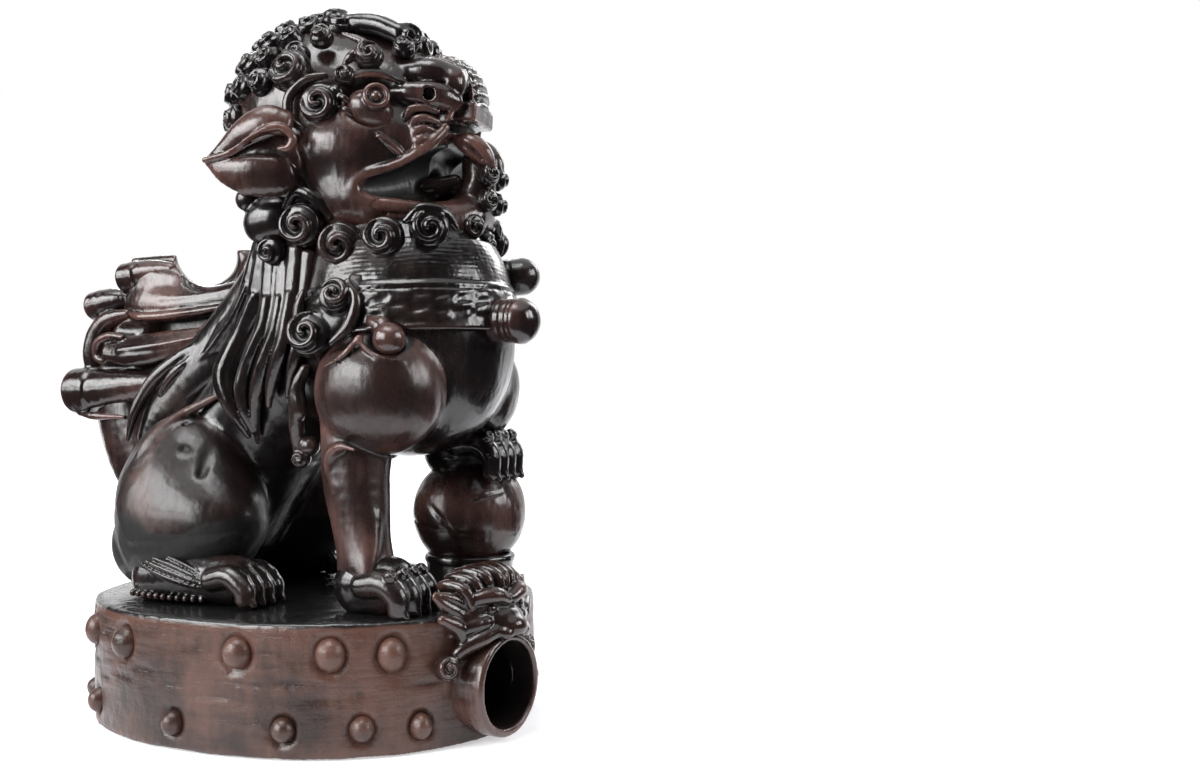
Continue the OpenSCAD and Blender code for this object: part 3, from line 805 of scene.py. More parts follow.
def haunch_cuts(clay, side):
    """The flap's edge over the muscle, the dimple and folds in it, and painted shade over its lower
    half, above the foot.
    """
    rim = [
        [-14.6, 22.4, 91.2, 0.6], [-21.4, 22.6, 88.2, 1.1], [-27.5, 24.2, 85, 1.35],
        [-31.8, 28.2, 81, 1.3], [-35, 31, 76.4, 1.1], [-37.6, 32.8, 70.5, 0.6],
    ]
    clay.ridge(rim, side, 1.5, steps=6)
    inner = [[r[0] + 2.6, r[1] + 1.0, r[2] - 2.6, 0.45] for r in rim[1:-1]]
    clay.gouge(inner, side, 0.8, steps=6)
    clay.gouge([
        [-14.6, 23.2, 82, 0.4], [-15.2, 26.6, 78, 0.9], [-15.6, 29.8, 72.8, 0.8],
        [-15.6, 32.0, 68.4, 0.3],
    ], side, 2.2)
    clay.cut(ball(at_side((-21.4, 32.4, 75.2), side), 1.4), 1.6)
    # Painted shade over the haunch's lower half, as if the light fell from above.
    clay.shade(limb(sided([[-41, 17, 45, 15.4], [-31, 21, 52.6, 19.9]], side)))
    clay.shade(limb(sided([[-27, 22.5, 44, 14.6], [-15, 25, 52, 13.8]], side)))
    clay.shade(egg(at_side((-25, 22, 47), side), (24, 20.4, 13)))
    clay.gouge([[-9.6, 30.8, 76, 0.3], [-9, 35.4, 67, 0.8], [-9.6, 37.6, 58, 0.4]], side, 2.0)
    clay.gouge([[-47, 36, 47.6, 1.0], [-30, 41, 48.8, 1.3], [-8, 39.5, 50, 0.9]], side, 1.6)


def hind_foot_forms(clay, side, back):
    """A foot with a brushed tuft and a row of beads, set back by the given length."""

    def shifted(rows):
        rows = sided(rows, side)
        rows[..., 0] -= back
        return rows

    clay.add(limb(shifted([[-31, 29.5, 40.5, 7.8], [-16, 30.5, 41, 7.5], [-5, 30.8, 40.5, 6.4]])))
    tuft = [
        [-34.5, 36.2, 46.8, 1.2], [-24, 37.6, 44.6, 3.6], [-14, 37.6, 41.6, 2.9],
        [-9.5, 36.8, 39.6, 1.0],
    ]
    clay.add(limb(shifted(tuft), out=(0, side, 0.35), flat=0.5, strands=4, groove=0.7), 0.4)
    for k in range(11):
        bead = [-35 + 2.3 * k, 37.6 - 0.06 * (k - 5) ** 2, 36.3 - 0.06 * k]
        clay.add(ball(shifted([bead])[0], 0.95), 0.5)
    for y in (24.6, 29.0, 33.3, 37.2):
        clay.add(limb(shifted([
            [-8, y, 41.4, 2.9], [-2.2, y, 42.4, 3.1], [2.2, y, 39.2, 2.9], [2.6, y, 37, 2.6],
        ])), 0.7)
        clay.add(limb(shifted([[3.6, y, 38, 1.7], [5.4, y, 35.4, 0.8]])), 0.3)
        knob = shifted([[1.6, y - 0.6, 41.8]])[0]
        curl(clay, knob, (1, -0.4, 0.7), (0, 0, 1), 1.8, -1, 1.3, 0.6, 1.2, 0.3)
    clay.cut(hoop(shifted([[-6.6, 31, 38]])[0], (1, 0, 0.3), 11.2, 0.7), 0.8)
    return clay


def right_leg_forms(clay, blend=0.6):
    """The shoulder's cap, and the leg below it."""
    clay.add(limb([
        [28, -22.5, 84, 10], [28.4, -24.3, 70, 9.0], [30.4, -25.4, 58, 7.7], [31.8, -25.8, 50, 7.2],
        [33.4, -26, 41, 8],
    ]), 3)
    clay.add(egg((34.4, -22.6, 91.5), (17.3, 15.6, 17.4)), blend)
    return clay


def right_leg_cuts(clay):
    """The cap's lower edge, the bands over it, and the beds of the bell and the curls."""
    arc = [
        [27.4, -32.6, 66, 0.3], [25.4, -32.8, 71, 0.8], [26.4, -33.4, 75, 1.1], [30.4, -34.4, 77, 1.0],
        [35, -35.6, 76.4, 0.4],
    ]
    clay.add(limb(arc, steps=5), 1.8)
    band_end = [36.2, -35.4, 104.6, 0.8]
    rear_band = [[27.2, -37.2, 97.4, 0.3], [32.6, -37.2, 100.2, 0.7], band_end]
    front_band = [
        band_end, [38.6, -35.2, 101.6, 0.7], [42.8, -34.2, 99.2, 0.7], [46.6, -31.2, 98.6, 0.4],
    ]
    for rows in (rear_band, front_band):
        clay.add(limb(rows, steps=5), 0.7)
    clay.cut(egg((42.6, -32, 105.6), (5.6, 5.6, 5.2)), 1.0)
    clay.cut(egg((28.6, -34.6, 106.4), (6.4, 5.0, 5.0)), 1.2)
    # Painted shade round the bell's bed.
    clay.shade(egg((42.6, -31, 106.0), (7.4, 8, 6.4)))


def left_leg_forms(clay, blend=2.0):
    """The raised leg, and the shoulder that it hangs from."""
    clay.add(egg((36, 21, 92), (16.8, 15.4, 17)), blend)
    clay.add(limb([[34.5, 21, 84, 11.4], [33.5, 20.8, 77, 9.6], [36.5, 20.8, 74.5, 8.4]]), 2.0)
    return clay


def paw_forms(clay, heel, toes, drop):
    """A paw with knuckled toes and claws. Toes are the places of the knuckles."""
    clay.add(limb(heel))
    for x, y, z in toes:
        knuckle = [
            [x - 6, y, z + 1.4, 3.2], [x, y, z + 2.0, 3.5], [x + 3.8, y, z - 1.2, 3.1],
            [x + 4.2, y, z - drop, 2.6],
        ]
        clay.add(limb(knuckle), 0.6)
        clay.add(limb([[x + 5.2, y, z - drop + 1, 1.7], [x + 6.8, y, z - drop - 1.6, 0.8]]), 0.3)


def make_torso():
    own = torso_forms(block_of_clay([-62, -30, 33], [63, 30, 158], 0.8))
    others = own.blank()
    for side in (RIGHT, LEFT):
        haunch_forms(others, side)
    right_leg_forms(others)
    left_leg_forms(others)
    own.flow_into(others)
    chest_folds = [(50.8, -22.4, 99, 48.6, -24.6, 81), (55.4, -17.4, 104, 54.6, -15.4, 88)]
    for x0, y0, z0, x1, y1, z1 in chest_folds + [(57.8, -12, 104, 56.4, -9.6, 90)]:
        fold = [[x0, y0, z0, 0.4], [x0 + 1, y0 + 0.6, (z0 + z1) / 2, 1.0], [x1, y1, z1, 0.4]]
        own.cut(limb(fold), 1.4)
    own.keep(below_deck)
    make_piece("torso", dark_and_shaded_wood, own, BODY, 1)


def make_haunch(name, side, seed):
    own = haunch_forms(side_block([-60, 3, 33], [4, 43, 96], side, 0.68), side)
    own.flow_into(torso_forms(own.blank()))
    haunch_cuts(own, side)
    own.keep(below_deck, 0.8)
    make_piece(name, shaded_haunch_wood, own, BODY, seed)


def make_hind_foot(name, side, back, seed):
    own = hind_foot_forms(side_block([-60, 16, 33], [14, 44, 56], side, 0.42), side, back)
    own.keep(below_deck, 0.4)
    make_piece(name, dark_and_shaded_wood, own, BODY, seed, wobble=0.1)


def make_front_legs():
    own = right_leg_forms(block_of_clay([8, -44, 33], [62, -2, 112], 0.56))
    own.flow_into(torso_forms(own.blank()))
    right_leg_cuts(own)
    cuff = [
        [32.6, -29.6, 57, 4.6], [34.6, -31.2, 51, 4.0], [36.2, -33.0, 46.6, 2.6],
        [37.2, -34.2, 43.6, 0.9],
    ]
    own.add(limb(cuff, out=(0.25, -1, 0), flat=0.45), 2.2)
    own.keep(below_deck)
    make_piece("right_front_leg", worn_wood, own, BODY, 21)
    own = left_leg_forms(block_of_clay([10, 2, 60], [62, 42, 114], 0.7))
    own.flow_into(torso_forms(own.blank()))
    make_piece("left_front_leg", dark_and_shaded_wood, own, BODY, 22)


def make_front_paws():
    own = block_of_clay([22, -46, 33], [62, -10, 56], 0.42)
    toes = [(43.0 - 0.25 * (k - 1.4) ** 2, -18.5 - 5.05 * k, 40.4) for k in range(4)]
    paw_forms(own, [[33, -26, 41, 8.7], [39.5, -26, 40.8, 7.8]], toes, 4.4)
    for x, y, z in toes:
        curl(own, (x + 2.6, y - 1.2, z + 4.2), (1, -0.4, 0.7), (0, 0, 1), 1.9, -1, 1.4, 0.6, 1.2, 0.3)
    own.keep(below_deck, 0.3)
    make_piece("right_front_paw", dark_and_shaded_wood, own, BODY, 31, 0.1)
    own = block_of_clay([20, 4, 58], [64, 38, 86], 0.42)
    across, level, reach = 20.9, 74.5, 8.8
    toes = [(44.6, 13.6 + 5.0 * k, 74.2) for k in range(4)]
    paw_forms(
        own, [[32, across, 73.5, 8.0], [38.5, across, level, reach], [43, across, level, 7.4]], toes,
        6.4,
    )
    for x, y, z in toes:
        for high in (4.0, -1.6):
            place = (x + 3.6 + 0.16 * (4 - high), y - 1.0, z + high)
            curl(own, place, (1, -0.5, 0.5), (0, 0, 1), 2.0, -1, 1.4, 0.6, 1.2, 0.3)
    for k in range(4):
        high = 77.6 - 2.9 * k
        out = math.sqrt(max(reach**2 - (high - level) ** 2, 1)) - 0.4
        hair = [[31 + k, across - out, high - 0.6, 0.4], [36.4, across - out, high, 0.9]]
        own.add(limb(hair + [[42.6, 21.6 - out, high + 0.4, 0.5]]), 0.5)
    make_piece("left_front_paw", dark_and_shaded_wood, own, BODY, 32, 0.1)


def make_ball_and_stand():
    """A ball with turned lines round it, on a ring with a rolled edge."""
    centre, radius = (37.4, 22.4, 55.6), 16.5
    own = block_of_clay([18, 3, 38], [58, 42, 74], 0.5)
    own.add(ball(centre, radius))
    for k, tilt in enumerate((-46, -12, 22, 58)):
        axis = (0.16 * math.sin(2.1 * k), 0.2 * math.cos(1.7 * k), 1)
        high = radius * math.sin(math.radians(tilt))
        line_radius = (radius + 0.05) * math.cos(math.radians(tilt))
        own.cut(hoop((centre[0], centre[1], centre[2] + high), axis, line_radius, 0.22), 0.7)
    own.cut(limb([[31, 6.6, 60, 0.3], [36, 5.6, 56, 0.7], [42, 6.4, 50, 0.3]]), 0.8)
    make_piece("ball", figure_wood, own, BODY, 41, 0.34, 0.06)
    own = block_of_clay([22, 6, 33], [54, 38, 46], 0.5)
    own.add(rod((37.6, 22.4, 38.6), (0, 0, 1), 12.6, 5.2, 1.3))
    own.add(hoop((37.6, 22.4, 42.6), (0, 0, 1), 11.8, 1.5), 0.6)
    own.cut(ball(centre, 16.3), 0.4)
    own.keep(below_deck)
    make_piece("ball_stand", dark_and_shaded_wood, own, BODY, 42)


# The strap, its bells, and the locks and curls of the mane on the body


BAND_TILT = math.tan(math.radians(2.5))


def make_strap():
    """Two bands round the chest: a smooth one with brushed lines, and a ribbon worked with leaves."""
    own = block_of_clay([4, -40, 98], [64, 40, 138], 0.5)
    chest = torso_forms(own.blank()).field
    legs = left_leg_forms(right_leg_forms(own.blank(), 3), 3).field
    chest = soft_min(chest, legs + 1.2, 3)
    x, y, z = own.everywhere()
    round_chest = np.arctan2(y, x - 22)
    level = z - BAND_TILT * (x - 40)
    leaves = np.sin(13 * round_chest + 0.55 * level) * np.sin(0.9 * level - 5 * round_chest)
    leaves = np.clip(leaves + 0.35 * np.sin(31 * round_chest - 1.7 * level), -0.6, 0.6)
    leaves = leaves * np.clip(1.2 - np.abs(level - 112.6) / 5.4, 0, 1)
    lower = np.maximum(np.abs(chest - 0.8) - 1.3 - 0.5 * leaves, np.abs(level - 112.2) - 5.0)
    brushed = 0.06 * np.sin(5.2 * level + 2.6 * np.sin(3 * round_chest) + 1.2 * np.sin(11 * round_chest))
    upper = np.maximum(np.abs(chest - 0.5) - 1.0 - brushed, np.abs(level - 124.6) - 6.9)
    upper_edge = np.sqrt((chest - 1.2) ** 2 + (level - 118.6) ** 2) - 0.85
    lower_edge = np.sqrt((chest - 1.6) ** 2 + (level - 107.4) ** 2) - 0.85
    whole = soft_min(soft_min(lower, upper, 1.0), soft_min(upper_edge, lower_edge, 0.1), 0.6)
    own.field = whole.astype(np.float32)
    own.keep(lambda x, y, z: 14 - x)
    own.cut(egg((43.2, -32, 104.2), (6.0, 6.2, 5.6)), 0.6)
    make_piece("chest_strap", dark_and_shaded_wood, own, BODY, 51, 0.1)


def make_bells():
    """A round bell on the right, a short one on the left, and a long one with lines round it."""
    own = block_of_clay([35, -39, 96], [50, -22, 114], 0.4)
    own.add(ball((42.9, -31.8, 104.4), 4.2))
    own.add(limb([[39, -29, 107.6, 3.0], [34, -28.6, 110, 1.6]]), 1.2)
    make_piece("right_bell", figure_wood, own, BODY, 61, 0.06)
    own = block_of_clay([42, 14, 115], [62, 34, 132], 0.4)
    own.add(limb([[47, 20.6, 123.6, 5.2], [53.4, 23.8, 124.2, 5.5]]))
    own.cut(hoop((50.4, 22.4, 124), (1, 0.5, 0.1), 5.7, 0.35), 0.4)
    make_piece("left_bell", dark_and_shaded_wood, own, BODY, 62, 0.06)
    own = block_of_clay([49, -14, 101], [74, 6, 119], 0.4)
    along = unit((1, -0.14, -0.02))
    mouth = np.array([57.6, -3.2, 110.0])
    own.add(rod(mouth + 3 * along, along, 6.0, 7.4, 1.2))
    own.add(egg(mouth + 9.4 * along, (5.9, 5.9, 4.8), turn_to(along)), 1.2)
    for far, deep in ((5.2, 0.3), (7.2, 0.3), (8.6, 0.25)):
        own.cut(hoop(mouth + far * along, along, 6.1, deep), 0.5)
    make_piece("front_bell", figure_wood, own, BODY, 63, 0.1)


# Rows of the hanging locks from the back one to the front one, then of what lies behind them
LOCKS = [
    [
        [-4, 19.6, 131, 2.6], [-7, 20.2, 120, 2.9], [-12.6, 18.8, 112, 2.9], [-18.6, 17.6, 106.4, 2.7],
        [-23.6, 17.6, 101.6, 1.9], [-29.6, 17.2, 97.8, 0.7],
    ],
    [
        [-1.8, 21.2, 131, 2.5], [-3.9, 22.2, 117, 2.8], [-8.8, 21.4, 108.4, 3.0],
        [-12, 22.4, 101.6, 3.2], [-13.8, 23.4, 95.6, 3.2], [-12.2, 24, 89.6, 2.7],
        [-9.6, 23.2, 84, 1.8], [-7.4, 21.4, 78.6, 0.7],
    ],
    [
        [1.4, 22.2, 130, 2.2], [1.5, 23.9, 116, 2.4], [0.7, 24.6, 109, 2.6], [-2.6, 24.8, 103, 2.4],
        [-5.6, 24.8, 97.4, 2.0], [-7.2, 24.6, 92, 1.9], [-7, 23.6, 86, 1.5], [-5.6, 21.4, 80, 0.7],
    ],
    [
        [5, 22.6, 129, 2.2], [5.6, 24.4, 116, 2.3], [4.8, 25.6, 108, 2.4], [2.1, 25.8, 102, 2.2],
        [-0.9, 25.4, 96, 2.0], [-3.1, 24.4, 90, 1.7], [-4.5, 22.6, 84, 1.3], [-5.8, 19.4, 77, 0.7],
    ],
    [
        [9, 22.6, 129, 2.3], [8.9, 24, 117, 2.2], [8.4, 25.2, 110, 2.3], [7.7, 26.2, 104.6, 2.1],
        [5, 25.8, 98.6, 1.8], [2.5, 24.6, 93, 1.4], [0.6, 22.8, 87, 0.7],
    ],
    [
        [12.6, 22.4, 128, 1.9], [12, 23.8, 116, 1.9], [12, 25.6, 108.8, 1.9], [11.6, 26.4, 103, 1.7],
        [9.6, 25.8, 96.8, 1.3], [6.6, 23.2, 89.6, 0.6],
    ],
]
BACK_EDGE = [
    [-12, 13.4, 122, 1.6], [-20, 14.8, 110, 2.0], [-26, 16.6, 104.6, 2.1], [-33, 18.2, 101, 2.1],
    [-39.6, 20, 96, 2.0], [-44.4, 21, 90.6, 1.8], [-47.4, 22, 84.4, 1.4], [-49.4, 22.2, 77, 0.6],
]
HIP_FLAP = [
    [-4, 11, 128, 8.5], [-13, 13, 115, 9], [-23, 14.5, 103, 9], [-33, 16.2, 93.6, 7.6],
    [-40.5, 17.4, 85, 6.2], [-44.6, 18.4, 77, 4.4],
]


def make_locks(name, side, seed):
    """Wavy locks like flames that hang from the neck, over a smooth flap that runs back to the hip."""
    own = side_block([-54, 4, 66], [24, 34, 142], side, 0.44)
    out = (0.05, side, 0.25)
    own.ridge(HIP_FLAP, side, steps=4, out=out, flat=0.62)
    own.ridge([[8, 16, 132, 7.5], [2, 17, 122, 6.5], [-2, 17.4, 108, 5.2]], side, 3)
    own.ridge(BACK_EDGE, side, 0.7, steps=6)
    own.ridge([[-38.6, 21.2, 90.6, 0.6], [-34, 21, 96.2, 1.3], [-29, 19.6, 100.4, 0.6]], side, 0.5)
    for number, rows in enumerate(LOCKS):
        rows = np.array(rows)
        rows[:, 1] += 1.2 - 0.5 * (number % 2)
        rows[:, 3] *= 1.2
        own.ridge(rows, side, 0.25, steps=6, out=out, flat=0.66)
        crest = rows[1:].copy()
        crest[:, 1] += 0.5 * crest[:, 3]
        crest[:, 3] *= 0.3
        own.ridge(crest, side, 0.9, steps=6)
    for rows in LOCKS[1:]:
        gap = [[r[0] - 1.15 * r[3], r[1] + 0.9, r[2], 0.6] for r in rows[1:-1]]
        own.gouge(gap, side, 0.5, steps=5)
    own.keep(torso_under(own, 2.6))
    make_piece(name, dark_and_shaded_wood, own, BODY, seed, 0.16)


def torso_under(clay, depth):
    """Leaves out what lies more than depth under the body's surface."""
    body = torso_forms(clay.blank()).field
    return lambda x, y, z: -depth - body


def make_back_locks():
    own = block_of_clay([-42, -16, 92], [-6, 16, 142], 0.55)
    strands = {"steps": 5, "strands": 3, "groove": 1.2}
    for side in (RIGHT, LEFT):
        rows = [[-11, 6, 134, 5.4], [-17.5, 8.5, 119, 5.8], [-28, 9, 103, 4.6], [-34, 8, 96.5, 1.6]]
        own.ridge(rows, side, 0.3, out=(-1, 0.3 * side, 0.5), flat=0.6, **strands)
    middle_rows = [[-14, 0, 135, 5.2], [-22.5, 0, 119, 5.6], [-33, 0, 103, 4.6], [-37.5, 0, 97, 1.6]]
    own.add(limb(middle_rows, out=(-1, 0, 0.5), flat=0.7, **strands), 0.3)
    make_piece("back_mane_locks", dark_and_shaded_wood, own, BODY, 73, 0.12)


def shoulder_curl_forms(clay, side):
    """Two large curls on a plate, and a long stem that hangs from them to a small one."""
    plate = [[31, 27.6, 121, 2.5], [29.5, 29, 114, 4.6], [22, 30, 108, 6.2], [18, 30, 102, 4.6]]
    clay.ridge(plate, side, 0.5, out=(0.05, side, 0.2), flat=0.45)
    side_curl(clay, side, (19.4, 31.6, 106), (0.1, 1, 0.15), (0.2, 0, 1), 6.5, 1, 3.0, 2.0, 1.7)
    side_curl(clay, side, (27, 31, 115.6), (0.2, 1, 0.3), (-1, 0, 0.4), 5.0, -1, 2.8, 1.7, 1.6)
    leaf = [
        [30.4, 31.4, 119.6, 0.7], [33, 31.6, 114.4, 1.4], [31.4, 32.4, 108, 1.6],
        [27, 33.6, 103.6, 0.9],
    ]
    clay.ridge(leaf, side, 0.5, steps=5)
    clay.ridge([[14.4, 28, 117.6, 0.6], [12.6, 27.6, 112.8, 1.5], [12.8, 28.4, 108, 0.8]], side, 0.4)
    lean = turn_to((-0.12, 0, 1), (1, 0, 0))
    clay.add(egg(at_side((12, 26.4, 88), side), (2.1, 2.0, 4.6), lean), 0.5)
    clay.add(ball(at_side((12.8, 22.6, 76.4), side), 2.7), 0.5)
    side_curl(clay, side, (10.4, 22.8, 73.0), (0.15, 1, 0), (0, 0, -1), 2.6, -1, 2.2, 1.0, 1.4)
    stem = [
        [14, 26.8, 97, 1.4], [11.6, 26.6, 92, 2.0], [10.4, 25.4, 84, 2.2], [9.6, 23.5, 78, 1.9],
        [9.5, 22, 71.6, 1.0],
    ]
    clay.ridge(stem, side, 0.8)


def make_shoulder_curls():
    for side in (RIGHT, LEFT):
        own = side_block([2, 12, 66], [38, 38, 124], side, 0.42)
        shoulder_curl_forms(own, side)
        name = "right_shoulder_curls" if side == RIGHT else "left_shoulder_curls"
        make_piece(
            name, dark_and_shaded_wood, own, BODY, 80 + side, 0.06, nodes=["shoulder_curls"],
        )


# The tail


TAIL_END = -81.8


def tail_forms(clay):
    """The upright plume: a rounded spine, and a thin fin before it that joins the back."""
    spine = [[-45, 0, 48, 9], [-55, 0, 61, 10.4], [-61.5, 0, 73, 11.8], [-65.4, 0, 88, 12.0]]
    clay.add(limb(spine + [[-65.0, 0, 101, 10.6], [-60, 0, 112, 8.6], [-56, 0, 119, 5.4]]))
    clay.add(limb([[-60, 0, 95, 9], [-45, 0, 97, 8.4], [-28, 0, 100, 8.0], [-15, 0, 104, 8.6]]), 3)
    clay.add(block((-44.5, 0, 118.4), (21, 3.1, 13.8), turn_to((-0.02, 0, 1), (1, 0, 0)), 1.2), 3)
    for side in (RIGHT, LEFT):
        panel = [
            [-61, 5.4, 118.4, 4.6], [-52, 6.4, 117.2, 5.6], [-40, 6.2, 117.2, 4.6],
            [-28, 6.4, 118.4, 4.2], [-18, 7, 120, 4.2],
        ]
        clay.ridge(panel, side, 1.6, steps=4, out=(0, side, 0.25), flat=0.75)
        upper = [
            [-60, 4.8, 124.6, 4.4], [-53, 5.2, 124.4, 4.8], [-46, 4.6, 123.4, 4.4],
            [-38, 4.0, 119, 3.6],
        ]
        clay.ridge(upper, side, 2.4, steps=4, out=(0, side, 0.1), flat=0.7)
        clay.ridge([
            [-64, 6.6, 116.0, 0.8], [-55, 10.2, 113.0, 1.3], [-40, 9.8, 113.8, 1.2],
            [-24, 9.6, 115.6, 0.8],
        ], side, 0.6)
    clay.add(limb([[-24, 0, 121, 5.0], [-21, 0, 126, 5.2], [-22.4, 0, 129.4, 3.6]]), 2)
    return clay


def scroll_forms(clay, side):
    """The leaves of the plume, which roll back at their tips."""

    def put(rows, blend=0.5, **how):
        clay.ridge(rows, side, blend, **how)

    face = (0, side, 0.4)
    put([
        [-48.6, 4.6, 127.2, 2.4], [-53, 4.8, 127.2, 3.2], [-57, 5.0, 126.8, 3.8],
        [-61.6, 5.2, 126, 4.2],
    ], 1.5)
    clay.add(rod(at_side((-62.6, 5.2, 125.4), side), (1, 0, 0.12), 4.7, 3.4, 1.2), 0.6)
    put([[-65, 4.4, 119, 2.6], [-70, 5.0, 118.4, 3.9], [-74, 5.2, 117.6, 4.3]])
    clay.add(rod(at_side((-75.2, 5.2, 117.2), side), (1, 0, 0.14), 4.5, 3.2, 1.4), 0.6)
    crescent = [
        [-62, 8.4, 114.2, 1.6], [-69, 8.0, 112.6, 2.8], [-73.4, 7.6, 108.6, 3.4],
        [-75.2, 7.6, 103, 3.4], [-74.8, 7.8, 97.6, 2.6],
    ]
    put(crescent, 0.8, steps=5)
    leaf = [
        [-30, 9.8, 108.4, 1.5], [-38, 10.8, 106.2, 3.4], [-47, 11.4, 104.2, 4.6],
        [-57, 11.8, 103.0, 4.7], [-66, 11.4, 103.2, 3.4],
    ]
    put(leaf, 0.6, out=face, flat=0.6, steps=4)
    put([[-34, 12.4, 106.4, 0.6], [-46, 13.8, 104.4, 1.0], [-60, 14.0, 103, 0.9]], 0.5)
    hook = [
        [-60, 12.6, 107, 1.0], [-65, 12.6, 107.4, 1.3], [-69.8, 12, 105.4, 1.4],
        [-70.4, 11.6, 101.4, 1.3], [-66.8, 12, 100.2, 1.2], [-65.6, 12.4, 102.6, 1.0],
    ]
    put(hook, 0.4, steps=5)
    put([[-33.4, 11.4, 106.4, 0.5], [-30.6, 12, 108.6, 1.6], [-26.6, 12, 112.4, 0.6]], 0.4)
    sheet = [[-48, 9.6, 93.8, 3.2], [-58, 9.4, 93.0, 5.0], [-68, 8.8, 92.0, 6.2], [-75, 8.4, 91.4, 6.7]]
    put(sheet, 0.8, steps=4, out=face, flat=0.9)
    clay.add(rod(at_side((-77.4, 8.4, 91.2), side), (1, 0, 0.05), 6.9, 4.2, 1.0), 0.8)
    end = at_side((-81.5, 8.4, 91.0), side)
    line = coil(end, (-1, 0, 0), (0, 0, 1), 5.2, rise=0, tube=0.6, turns=1.3, hand=side, dome=False)
    clay.cut(line, 0.4)
    put([[-78, 11, 84.4, 0.6], [-70, 12.6, 83.6, 1.1], [-60, 12.2, 83.4, 0.6]], 0.6)
    return clay


def notch(spread=0.0):
    """The round notch in the plume's upper edge, cut a little askew by hand."""
    return rod((-39.3, 0, 131.4), (-0.8, 1, 0.12), 8.7 + spread, 26, 0.5)


def tail_cuts(clay):
    """Lines along the fin, dark hollows between the leaves, the notch, and grooves down the spine."""
    for side in (RIGHT, LEFT):
        for k, (z, x0) in enumerate(((115.6, -58), (118.0, -48), (120.4, -42), (122.2, -34))):
            y = 11.2 - 0.9 * k
            rows = [[x0, y + 0.2, z - 0.8, 0.15], [-38, y - 0.3, z, 0.5], [-24, y, z + 1.4, 0.3]]
            clay.gouge(rows, side, 0.8)
        dark = [
            [-70, 9.5, 109.8, 1.0], [-60, 10.6, 109.6, 2.6], [-46, 10.4, 109.6, 2.4],
            [-34, 9.4, 111.4, 1.4],
        ]
        clay.gouge(dark, side, 0.8)
        clay.gouge([[-72, 11.4, 98.4, 1.2], [-56, 11.6, 98.0, 2.2], [-44, 10.6, 98.6, 1.4]], side, 0.8)
        clay.gouge([[-44, 5.0, 125.6, 0.6], [-40.4, 6.6, 122.4, 1.1], [-35, 8, 120.2, 0.6]], side, 0.6)
    clay.cut(notch(), 0.6)
    # Painted shade round the notch.
    clay.shade(notch(0.6))
    for y in (-5.6, 0, 5.6):
        rows = [[-73, y, 113, 0.3], [-78.6 + 0.12 * y * y, y, 102, 0.9]]
        rows += [[-78.8 + 0.12 * y * y, y, 88, 1.0], [-74 + 0.1 * y * y, 0.8 * y, 72, 0.7]]
        clay.cut(limb(rows + [[-65, 0.5 * y, 58, 0.3]]), 1.0)


def make_tail():
    own = tail_forms(block_of_clay([-84, -18, 40], [-12, 18, 137], 0.55))
    tail_cuts(own)
    own.keep(torso_under(own, 1.2))
    make_piece("tail_fan", figure_wood, own, BODY, 91, 0.2)
    for side, name in ((RIGHT, "right_tail_scrolls"), (LEFT, "left_tail_scrolls")):
        own = scroll_forms(side_block([-84, -3, 80], [-24, 18, 134], side, 0.42), side)
        own.cut(notch(), 0.4)
        own.keep(lambda x, y, z: TAIL_END - x, 0.4)
        make_piece(name, figure_wood, own, BODY, 92 + side, 0.16)


# The head, in its own frame: x to the nose, y to the left, z up


SKULL_MIDDLE, SKULL_RADII = (-6, 0, 3), (27.5, 25.2, 26.5)


def skull_forms(clay):
    """The skull, the back of the head, and the cheeks."""
    clay.add(egg(SKULL_MIDDLE, SKULL_RADII))
    clay.add(limb([[-13.6, 0, -12, 19.5], [-6, 0, -22, 20], [1.6, 0, -24, 19]]), 6)
    clay.add(egg((8, 0, 4), (24, 22, 20)), 6)
    for side in (RIGHT, LEFT):
        clay.add(egg(at_side((4.5, 13.5, -9), side), (17, 15.8, 15)), 5)
        clay.add(egg(at_side((8.5, 14, -22), side), (14.5, 14, 11)), 5)
        clay.ridge([[10, 15, -8, 11], [22, 11, -6.5, 9.5]], side, 4)
    return clay


# Each fold's front end, its length and how far its rear end drops
WHISKER_FOLDS = [
    (30.4, 1.6, 7.4, 2.6), (30.6, -1.2, 6.2, 3.0), (30.0, -3.9, 5.0, 3.2), (29.4, -6.5, 3.6, 2.8),
]


